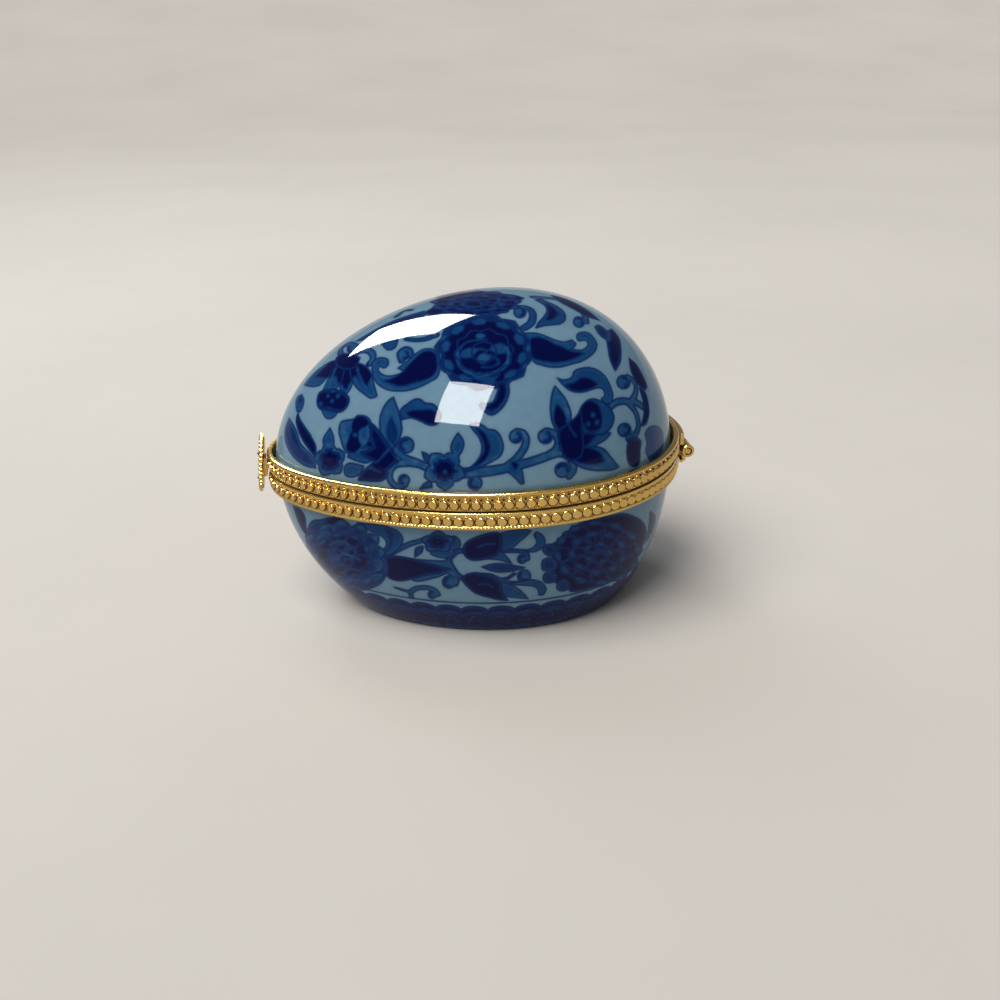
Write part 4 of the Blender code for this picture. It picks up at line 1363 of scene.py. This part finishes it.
def shell_piece(name, upper, paint, materials):
    """One porcelain half: a fine painted outer face, a coarser inner face and the edge between them."""
    coarse = paint.fineness
    ratio = 4
    outer_radius, outer_angle, outer_faces, outer_rim = disc_grid(coarse * ratio + 1)
    inner_radius, inner_angle, inner_faces, inner_rim = disc_grid(coarse + 1)
    if upper:
        outer_polar = outer_radius * polar_at(outer_angle, LID_EDGE, 0)
        inner_polar = inner_radius * polar_at(inner_angle, LID_EDGE, WALL)
        outer = sphere_points(outer_polar, outer_angle, True, 0)
        inner = sphere_points(inner_polar, inner_angle, True, WALL)
    else:
        outer = bowl_points(outer_radius, outer_angle, 0, 0.0, BASE_ROUND)
        inner = bowl_points(inner_radius, inner_angle, WALL, WALL, INNER_ROUND)
    start = len(outer)
    bridge = []
    for j in range(len(inner_rim)):
        near = [outer_rim[(ratio * j + k) % len(outer_rim)] for k in range(ratio + 1)]
        this = start + inner_rim[j]
        after = start + inner_rim[(j + 1) % len(inner_rim)]
        bridge += [(near[0], near[1], this), (near[1], near[2], this), (near[2], after, this),
                   (near[2], near[3], after), (near[3], near[4], after)]
    faces = [tuple(face[::-1]) for face in outer_faces.tolist()]
    faces += bridge
    faces += [tuple(face) for face in (inner_faces + start).tolist()]
    if upper:
        faces = [face[::-1] for face in faces]
    parts = MeshParts()
    parts.add(np.concatenate([outer, inner]), faces)
    item = parts.build(name, materials)
    indices = np.ones(len(faces), np.int32)
    indices[:len(outer_faces)] = 0
    item.data.polygons.foreach_set("material_index", indices)
    painter = Painter(outer, upper)
    if upper:
        paint_scroll(painter, LID_LEAVES, LID_BANDS, LID_CURLS, LID_ROSETTES,
                     LID_PATCHES, LID_VEINS, LID_SPOTS)
    else:
        paint_scroll(painter, BOWL_LEAVES, BOWL_BANDS, BOWL_CURLS, BOWL_ROSETTES,
                     BOWL_PATCHES, BOWL_VEINS, BOWL_SPOTS)
        paint_border(painter)
    spare = np.full(len(inner), FAR_FIELD)
    for layer in range(LAYERS):
        add_attribute(item.data, f"field_{layer}", np.concatenate([painter.fields[layer], spare]))
    add_attribute(item.data, "tone", np.concatenate([painter.tone, spare * 0]))
    return item


def adopt(item, body, slot, *nodes):
    """Lets a piece move with a body in place of solids of the frame."""
    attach(item, body)
    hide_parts(*nodes)


class PaintSettings(PropertyGroup):
    """Colours of the glaze and the painting."""

    ground_colour: FloatVectorProperty(name="Ground",
                                       description="Pale ground", subtype="COLOR",
                                       default=(0.147, 0.263, 0.362))
    ground_tint: FloatVectorProperty(name="Ground tint",
                                     description="Second tone of the ground", subtype="COLOR",
                                     default=(0.127, 0.237, 0.337))
    pale_colour: FloatVectorProperty(name="Pale",
                                     description="Palest painted blue", subtype="COLOR",
                                     default=(0.078, 0.155, 0.270))
    wash_colour: FloatVectorProperty(name="Wash",
                                     description="Thin blue of leaves and bands", subtype="COLOR",
                                     default=(0.009, 0.064, 0.178))
    blue_colour: FloatVectorProperty(name="Blue",
                                     description="Middle painted blue", subtype="COLOR",
                                     default=(0.004, 0.043, 0.150))
    deep_colour: FloatVectorProperty(name="Deep",
                                     description="Deep painted blue", subtype="COLOR",
                                     default=(0.001, 0.017, 0.102))
    navy_colour: FloatVectorProperty(name="Navy",
                                     description="Darkest painted blue", subtype="COLOR",
                                     default=(0.000, 0.002, 0.046))
    line_colour: FloatVectorProperty(name="Line",
                                     description="Outlines", subtype="COLOR",
                                     default=(0.001, 0.016, 0.096))
    inside_colour: FloatVectorProperty(name="Inside",
                                       description="Bare glaze inside", subtype="COLOR",
                                       default=(0.720, 0.740, 0.730))
    inside_tint: FloatVectorProperty(name="Inside tint",
                                     description="Second tone of the inside", subtype="COLOR",
                                     default=(0.650, 0.685, 0.690))
    line_width: FloatProperty(name="Line width", description="Half width of outlines, mm",
                              default=0.165, min=0.02)
    line_strength: FloatProperty(name="Line strength", description="Density of outlines",
                                 default=0.85, min=0, max=1)
    halo: FloatProperty(name="Halo", description="How much blue bleeds round the painting",
                        default=0.16, min=0, max=1)
    unevenness: FloatProperty(name="Unevenness", description="Mottling of the blue",
                              default=0.45, min=0, max=2)
    glaze_ripple: FloatProperty(name="Glaze ripple", description="Unevenness of the gloss",
                                default=0.04, min=0, max=1)
    fineness: IntProperty(name="Fineness", description="Quarter of the surface grid's side",
                          default=76, min=16, max=76)


class BrassSettings(PropertyGroup):
    """Sizes and colours of the brass."""

    gilt_colour: FloatVectorProperty(name="Gilt",
                                     description="Clean gilt", subtype="COLOR",
                                     default=(0.640, 0.418, 0.122))
    # Colour of grime and of the painted shade in recesses, rings, dots and hidden faces
    grime_and_shade_colour: FloatVectorProperty(name="Grime",
                                      description="Recesses", subtype="COLOR",
                                      default=(0.042, 0.012, 0.004))
    roughness: FloatProperty(name="Roughness", description="Roughness of the clean gilt",
                             default=0.23, min=0, max=1)
    stipple: FloatProperty(name="Stipple", description="Strength of the fine grain",
                           default=0.35, min=0, max=1)
    discs: IntProperty(name="Discs", description="Discs round each rim", default=114, min=20)
    ticks: IntProperty(name="Mill ticks", description="Ticks round the milled foot",
                       default=330, min=50)


class StageSettings(PropertyGroup):
    """Floor and lights."""

    floor_colour: FloatVectorProperty(name="Floor",
                                      description="Pale floor", subtype="COLOR",
                                      default=(0.600, 0.570, 0.530))
    key_strength: FloatProperty(name="Key", description="Strength of the soft key light",
                                default=2.9, min=0)
    window_power: FloatProperty(name="Window", description="Power of the long highlight",
                                default=27.0, min=0)
    front_power: FloatProperty(name="Front", description="Power of the square highlight",
                               default=24.0, min=0)
    sky_strength: FloatProperty(name="Sky", description="Strength of the even surrounding light",
                                default=0.20, min=0)


class EGGBOX_OT_porcelain(Operator):
    """Makes the painted lid and bowl"""

    bl_idname = "eggbox.porcelain"
    bl_label = "Porcelain"

    def execute(self, context):
        paint = context.scene.egg_paint
        materials = [shared_material("painted_porcelain", painted_porcelain, paint),
                     shared_material("plain_porcelain", plain_porcelain, paint)]
        lid = shell_piece("painted_lid", True, paint, materials)
        adopt(lid, "lid", "porcelain", "porcelain_lid")
        bowl = shell_piece("painted_bowl", False, paint, materials)
        adopt(bowl, "bowl", "porcelain", "porcelain_bowl")
        return {"FINISHED"}


class EGGBOX_OT_rims(Operator):
    """Makes the two beaded rims"""

    bl_idname = "eggbox.rims"
    bl_label = "Beaded rims"

    def execute(self, context):
        brass = context.scene.egg_brass
        material = shared_material("worn_gilt", worn_gilt, brass)
        lid = MeshParts()
        lid.add(*swept_band(lid_band_section()[::-1], PATH_STEPS))
        add_discs(lid, brass.discs, SEAM + LID_DISC_HEIGHT, LID_DISC_RADIUS, 0.0)
        add_dots(lid, brass.discs, SEAM + DOT_HEIGHT, DOT_RADIUS, 0.08, BRIGHT)
        # Dark dots between the discs: painted shade in place of holes
        add_dots(lid, brass.discs, SEAM + DOT_HEIGHT - DOT_DROP, DOT_RADIUS, 0.50, DARK)
        for row, height in enumerate(GRAIN_HEIGHTS):
            add_dots(lid, 3 * brass.discs, SEAM + height, GRAIN_RADIUS, row / 2, BRIGHT, 6)
        adopt(lid.build("beaded_lid_rim", [material]), "lid", "gilt_brass", "lid_rim")
        bowl = MeshParts()
        section = bowl_band_section()
        foot = {k for k, point in enumerate(section) if point[0] == RIM_REACH}

        def milled(k, share):
            if k not in foot:
                return 0.0
            return -MILL_RELIEF * (1 + np.cos(2 * pi * brass.ticks * share)) / 2

        bowl.add(*swept_band(section, 4 * brass.ticks, milled))
        add_discs(bowl, brass.discs, SEAM - BOWL_DISC_HEIGHT, BOWL_DISC_RADIUS, 0.3)
        dots = SEAM - BOWL_DISC_HEIGHT + BOWL_DISC_RADIUS
        add_dots(bowl, brass.discs, dots, DOT_RADIUS * 0.8, 0.05, BRIGHT)
        adopt(bowl.build("beaded_bowl_rim", [material]), "bowl", "gilt_brass", "bowl_rim")
        return {"FINISHED"}


# Hinge and clasp, in metres
BARREL_RADIUS = 0.00115
BARREL_SIDES = 40
BORE_RADIUS = 0.00072
PIN_RADIUS = 0.00055
PIN_BEVEL = 0.0001
LEAF_THICKNESS = 0.0006
LEAF_STANDOFF = 0.00045
LEAF_BEVEL = 0.00012
LOW_LEAF_HEIGHT = 0.00045
EAR_BEVEL = 0.0001
EAR_INSET = 0.0002
EAR_ROOT = 0.0008
KNUCKLE_HALF = 0.00175
KNUCKLE_GAP = 0.0003
OUTLINE_LENGTH = 0.1935
CLASP_LEAN = radians(6)
CLASP_STANDOFF = 0.0007
CLASP_THICKNESS = 0.0005
CLASP_LOBES = 12
CLASP_LOBE_DEPTH = 0.06
CLASP_SIDES = 144
HOLLOW = 0.00012
FLOWER_PETALS = 10
FLOWER_WIDTH = 0.0012
FLOWER_HEIGHT = 0.0017
TONGUE_HALF = 0.0012
TONGUE_DEPTH = 0.00025
TONGUE_TOP = 0.0022
TONGUE_STANDOFF = 0.0003

# Beads of the clasp's edge and of its inner ring, and its dark studs: count, first angle, how deep they
# sit, shares of its half-width and half-height, dome, sides and how dark they are drawn
CLASP_BEADS = (
    (36, 0, 0.0001, 0.90, 0.925, (0.00040, 0.00042, 0.0002, 5), 14, BRIGHT),
    (24, 0, HOLLOW, 0.63, 0.63, (0.00026, 0.00026, 0.0001, 4), 10, BRIGHT),
    (4, pi / 4, 0.0, 0.60, 0.60, (0.00034, 0.00060, 0.0001, 5), 12, DARK),
)


def knuckle(parts, low_y, high_y, x, z, radius, bore):
    """A tube of the hinge barrel with rounded ends, open along its bore."""
    profile = [(bore, low_y), (radius - LEAF_BEVEL, low_y), (radius, low_y + LEAF_BEVEL),
               (radius, high_y - LEAF_BEVEL), (radius - LEAF_BEVEL, high_y), (bore, high_y)]
    angles = 2 * pi * np.arange(BARREL_SIDES) / BARREL_SIDES
    points = []
    for reach, y in profile:
        ring = [x + reach * np.cos(angles), np.full(BARREL_SIDES, y), z + reach * np.sin(angles)]
        points.extend(np.stack(ring, 1))
    faces = []
    for ring in range(len(profile)):
        this = ring * BARREL_SIDES
        other = (ring + 1) % len(profile) * BARREL_SIDES
        for k in range(BARREL_SIDES):
            after = (k + 1) % BARREL_SIDES
            faces.append((this + k, other + k, other + after, this + after))
    parts.add(points, faces)


def leaf_patch(half_turn, inner, outer, bottom, top, bevel=LEAF_BEVEL):
    """A thin plate bent round the blunt end, with bevelled long edges."""
    shares = np.linspace(-half_turn, half_turn, 17)
    section = [(inner, bottom), (outer - bevel, bottom), (outer, bottom + bevel), (outer, top - bevel),
               (outer - bevel, top), (inner, top)]
    points = []
    for outward, height in section:
        place = outline_places(shares, outward)[0]
        points.append(np.concatenate([place, np.full((len(shares), 1), height)], 1))
    points = np.stack(points, 1).reshape(-1, 3)
    count = len(section)
    faces = []
    for i in range(len(shares) - 1):
        for k in range(count):
            a = i * count + k
            b = i * count + (k + 1) % count
            faces.append((a, a + count, b + count, b))
    last = (len(shares) - 1) * count
    faces.append(tuple(range(count)))
    faces.append(tuple(last + k for k in reversed(range(count))))
    return points, faces


class EGGBOX_OT_hinge(Operator):
    """Makes the hinge leaves, the knuckles and the pin"""

    bl_idname = "eggbox.hinge"
    bl_label = "Hinge"

    def execute(self, context):
        brass = context.scene.egg_brass
        material = shared_material("worn_gilt", worn_gilt, brass)
        pin_low, pin_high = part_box("hinge_pin")
        x = (pin_low.x + pin_high.x) / 2
        z = (pin_low.z + pin_high.z) / 2
        half = (pin_high.y - pin_low.y) / 2
        lid_low, lid_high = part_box("hinge_leaf_lid")
        bowl_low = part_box("hinge_leaf_bowl")[0]
        inner = RIM_REACH + LEAF_STANDOFF
        outer = inner + LEAF_THICKNESS
        turn = (lid_high.y - lid_low.y) / 2 / OUTLINE_LENGTH
        ear_x = EGG_LENGTH / 2 + inner
        lid = MeshParts()
        bottom = z + BARREL_RADIUS + KNUCKLE_GAP
        lid.add(*leaf_patch(turn, inner, outer, bottom, lid_high.z))
        low = (ear_x + EAR_BEVEL, -KNUCKLE_HALF + EAR_INSET, z)
        high = (ear_x + LEAF_THICKNESS, KNUCKLE_HALF - EAR_INSET, bottom + EAR_ROOT)
        lid.add(*box_patch(low, high, EAR_BEVEL))
        knuckle(lid, -KNUCKLE_HALF, KNUCKLE_HALF, x, z, BARREL_RADIUS, BORE_RADIUS)
        adopt(lid.build("hinge_leaf_upper", [material]), "lid", "gilt_brass", "hinge_leaf_lid")
        bowl = MeshParts()
        notch = KNUCKLE_HALF + KNUCKLE_GAP
        for side in (-1, 1):
            ends = sorted((side * notch, side * half))
            knuckle(bowl, ends[0], ends[1], x, z, BARREL_RADIUS, BORE_RADIUS)
            low = (ear_x, ends[0] + EAR_INSET, bowl_low.z + EAR_BEVEL)
            high = (ear_x + LEAF_THICKNESS, ends[1] - 2 * EAR_INSET * (side > 0), z + BARREL_RADIUS / 2)
            bowl.add(*box_patch(low, high, EAR_BEVEL))
        bowl.add(*leaf_patch(turn, inner, outer, bowl_low.z, bowl_low.z + LOW_LEAF_HEIGHT, EAR_BEVEL))
        adopt(bowl.build("hinge_leaf_lower", [material]), "bowl", "gilt_brass", "hinge_leaf_bowl")
        pin = MeshParts()
        profile = [(0, -half), (PIN_RADIUS * 0.7, -half), (PIN_RADIUS, -half + PIN_BEVEL),
                   (PIN_RADIUS, half - PIN_BEVEL), (PIN_RADIUS * 0.7, half), (0, half)]
        pin.add(*turned_patch(profile, (x, 0, z), (0, 1, 0), 32))
        adopt(pin.build("hinge_rod", [material]), "bowl", "gilt_brass", "hinge_pin")
        return {"FINISHED"}


class EGGBOX_OT_clasp(Operator):
    """Makes the ornamental clasp plate"""

    bl_idname = "eggbox.clasp"
    bl_label = "Clasp"

    def execute(self, context):
        brass = context.scene.egg_brass
        material = shared_material("worn_gilt", worn_gilt, brass)
        low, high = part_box("clasp_plate")
        middle_z = low.z + (high.z - low.z) / 2
        half_height = (high.z - low.z) / 2
        half_width = (high.y - low.y) / 2
        edge = EGG_LENGTH / 2 + RIM_REACH
        back = -(edge + CLASP_STANDOFF)
        front = back - CLASP_THICKNESS
        parts = MeshParts()
        rings = ((0.90, back), (0.93, back - EAR_BEVEL), (0.93, front + EAR_BEVEL), (0.90, front),
                 (0.70, front), (0.66, front + HOLLOW), (0.60, front + HOLLOW), (0.56, front))
        points = [(back, 0, middle_z)]
        for reach, x in rings:
            for k in range(CLASP_SIDES):
                turn = 2 * pi * k / CLASP_SIDES
                lobe = reach * (1 - CLASP_LOBE_DEPTH * (1 - cos(CLASP_LOBES * turn)) / 2)
                across = half_width * lobe * sin(turn)
                points.append((x, across, middle_z + half_height * lobe * cos(turn)))
        points.append((front, 0, middle_z))
        faces = []
        last = 1 + (len(rings) - 1) * CLASP_SIDES
        for k in range(CLASP_SIDES):
            after = (k + 1) % CLASP_SIDES
            faces.append((0, 1 + after, 1 + k))
            for start in range(1, last, CLASP_SIDES):
                above = start + CLASP_SIDES
                faces.append((start + k, start + after, above + after, above + k))
            faces.append((last + k, last + after, len(points) - 1))
        parts.add(points, faces)
        outward = (-1, 0, 0)
        for count, first, depth, wide, tall, dome, sides, grime_and_shade in CLASP_BEADS:
            for k in range(count):
                turn = first + 2 * pi * k / count
                across = half_width * wide * sin(turn)
                place = (front + depth, across, middle_z + half_height * tall * cos(turn))
                parts.add(*turned_patch(dome_profile(*dome), place, outward, sides), grime_and_shade)
        for k in range(FLOWER_PETALS):
            turn = 2 * pi * k / FLOWER_PETALS
            place = (front, FLOWER_WIDTH * sin(turn), middle_z + FLOWER_HEIGHT * cos(turn))
            parts.add(*turned_patch(dome_profile(0.00050, 0.00032, 0.0001, 5), place, outward, 14))
        boss = dome_profile(0.0011, 0.0005, 0.0001, 8)
        parts.add(*turned_patch(boss, (front, 0, middle_z), outward, 28))
        lean = Matrix.Rotation(CLASP_LEAN, 3, "Y")
        pivot = Vector((back, 0, middle_z))
        parts.points = [np.array([pivot + lean @ (Vector(point) - pivot) for point in patch])
                        for patch in parts.points]
        tongue_low = (back - TONGUE_DEPTH, -TONGUE_HALF, SEAM - TONGUE_HALF)
        tongue_high = (-(edge + TONGUE_STANDOFF), TONGUE_HALF, SEAM + TONGUE_TOP)
        parts.add(*box_patch(tongue_low, tongue_high, EAR_BEVEL))
        adopt(parts.build("beaded_clasp", [material]), "lid", "gilt_brass", "clasp_plate")
        return {"FINISHED"}


# Highlights on the lid, in the photograph's frame, and the softboxes that make them, in metres
WINDOW_REFLECTION = (408, 328)
WINDOW_SIZE = (0.31, 0.52)
WINDOW_ROLL = radians(17)
FRONT_REFLECTION = (464, 403)
FRONT_SIZE = (0.31, 0.46)
FRONT_ROLL = radians(-4)
SOFTBOX_COLOUR = (1.0, 0.99, 0.97)
SOFTBOX_DISTANCE = 0.9

# Key light, surrounding light and floor
KEY_ANGLE = radians(45)
KEY_COLOUR = (1.0, 0.975, 0.93)
KEY_DIRECTION = (0.45, 0.32, -1.0)
SKY_COLOUR = (0.92, 0.95, 1.0, 1)
FLOOR_HALF = 3.0
FLOOR_BEND = 3.0
FLOOR_BEND_START = 0.8
FLOOR_STEEPEST = radians(14)
FLOOR_STEPS = 12
FLOOR_SHADE = 0.94


def add_light(name, kind):
    """A light at the origin."""
    lamp = bpy.data.objects.new(name, bpy.data.lights.new(name, kind))
    bpy.context.scene.collection.objects.link(lamp)
    lamp.rotation_mode = "QUATERNION"
    return lamp


def softbox(name, reflection, size, roll, power):
    """A glossy highlight placed where its mirror image on the lid sits at a place of the picture."""
    place = on_egg([reflection])[0]
    ray = pixel_rays([reflection])[0]
    normal = egg_normals(place[None])[0]
    bounce = ray - 2 * ray.dot(normal) * normal
    lamp = add_light(name, "AREA")
    lamp.data.shape = "RECTANGLE"
    lamp.data.size, lamp.data.size_y = size
    lamp.data.energy = power
    lamp.data.color = SOFTBOX_COLOUR
    lamp.location = place + bounce * SOFTBOX_DISTANCE
    facing = Vector(-bounce).to_track_quat("-Z", "Y")
    lamp.rotation_quaternion = facing @ Quaternion((0, 0, 1), roll)
    lamp.visible_diffuse = False


def floor_material(colour):
    """Plain pale card with a faint unevenness."""
    material, tree, shader = new_material("pale_floor")
    darker = tuple(channel * FLOOR_SHADE for channel in colour)
    share = ramp(tree, mottled(tree, 60.0, 6.0, 0.8), 0.3, 0.7)
    tree.links.new(blend_colour(tree, share, (*colour, 1), (*darker, 1)), shader.inputs["Base Color"])
    shader.inputs["Roughness"].default_value = 0.9
    return material


def floor_sweep():
    """A floor that rises gently behind the box, so that no horizon shows."""
    profile = [(-FLOOR_HALF, 0.0), (FLOOR_BEND_START, 0.0)]
    for k in range(1, FLOOR_STEPS + 1):
        turn = FLOOR_STEEPEST * k / FLOOR_STEPS
        profile.append((FLOOR_BEND_START + FLOOR_BEND * sin(turn), FLOOR_BEND * (1 - cos(turn))))
    last_y, last_z = profile[-1]
    profile.append((last_y + FLOOR_HALF, last_z + FLOOR_HALF * tan(FLOOR_STEEPEST)))
    points = [(x, y, z) for y, z in profile for x in (-FLOOR_HALF, FLOOR_HALF)]
    faces = [(2 * k, 2 * k + 1, 2 * k + 3, 2 * k + 2) for k in range(len(profile) - 1)]
    mesh = bpy.data.meshes.new("floor")
    mesh.from_pydata(points, [], faces)
    mesh.shade_smooth()
    floor = bpy.data.objects.new("floor", mesh)
    bpy.context.scene.collection.objects.link(floor)
    return floor


class EGGBOX_OT_stage(Operator):
    """Makes the floor, the soft lights and the camera"""

    bl_idname = "eggbox.stage"
    bl_label = "Stage"

    def execute(self, context):
        scene = context.scene
        stage = scene.egg_stage
        floor = floor_sweep()
        floor.data.materials.append(floor_material(stage.floor_colour))
        softbox("window_softbox", WINDOW_REFLECTION, WINDOW_SIZE, WINDOW_ROLL, stage.window_power)
        softbox("front_softbox", FRONT_REFLECTION, FRONT_SIZE, FRONT_ROLL, stage.front_power)
        key = add_light("key_light", "SUN")
        key.data.angle = KEY_ANGLE
        key.data.energy = stage.key_strength
        key.data.color = KEY_COLOUR
        key.rotation_quaternion = Vector(KEY_DIRECTION).to_track_quat("-Z", "Y")
        key.visible_glossy = False
        world = bpy.data.worlds.new("even_light")
        world.use_nodes = True
        background = world.node_tree.nodes["Background"]
        background.inputs["Color"].default_value = SKY_COLOUR
        background.inputs["Strength"].default_value = stage.sky_strength
        scene.world = world
        data = bpy.data.cameras.new("camera")
        data.sensor_width = SENSOR_WIDTH
        data.lens = FOCAL_PIXELS / IMAGE_SIZE * SENSOR_WIDTH
        data.clip_start = 0.01
        camera = bpy.data.objects.new("camera", data)
        scene.collection.objects.link(camera)
        right, up, forward = view_axes()
        turned = Matrix((right, up, -forward)).transposed().to_4x4()
        camera.matrix_world = Matrix.Translation(EYE) @ turned
        scene.camera = camera
        scene.view_settings.view_transform = "Standard"
        return {"FINISHED"}


class EGGBOX_PT_panel(Panel):
    """Lists the box's pieces and settings"""

    bl_idname = "EGGBOX_PT_panel"
    bl_label = "Egg box"
    bl_space_type = "VIEW_3D"
    bl_region_type = "UI"
    bl_category = "Egg box"

    def draw(self, context):
        layout = self.layout
        for operator in OPERATORS:
            layout.operator(operator.bl_idname)
        for group in (context.scene.egg_paint, context.scene.egg_brass, context.scene.egg_stage):
            column = layout.column()
            for name in group.__annotations__:
                column.prop(group, name)


OPERATORS = (EGGBOX_OT_porcelain, EGGBOX_OT_rims, EGGBOX_OT_hinge, EGGBOX_OT_clasp, EGGBOX_OT_stage)
CLASSES = (PaintSettings, BrassSettings, StageSettings, *OPERATORS, EGGBOX_PT_panel)


def register():
    """Registers the classes and the scene's settings."""
    for item in CLASSES:
        bpy.utils.register_class(item)
    bpy.types.Scene.egg_paint = PointerProperty(type=PaintSettings)
    bpy.types.Scene.egg_brass = PointerProperty(type=BrassSettings)
    bpy.types.Scene.egg_stage = PointerProperty(type=StageSettings)


def unregister():
    """Undoes register."""
    del bpy.types.Scene.egg_stage
    del bpy.types.Scene.egg_brass
    del bpy.types.Scene.egg_paint
    for item in reversed(CLASSES):
        bpy.utils.unregister_class(item)


def main():
    """Makes every piece and the stage."""
    register()
    bpy.ops.eggbox.porcelain()
    bpy.ops.eggbox.rims()
    bpy.ops.eggbox.hinge()
    bpy.ops.eggbox.clasp()
    bpy.ops.eggbox.stage()


if __name__ == "__main__":
    main()
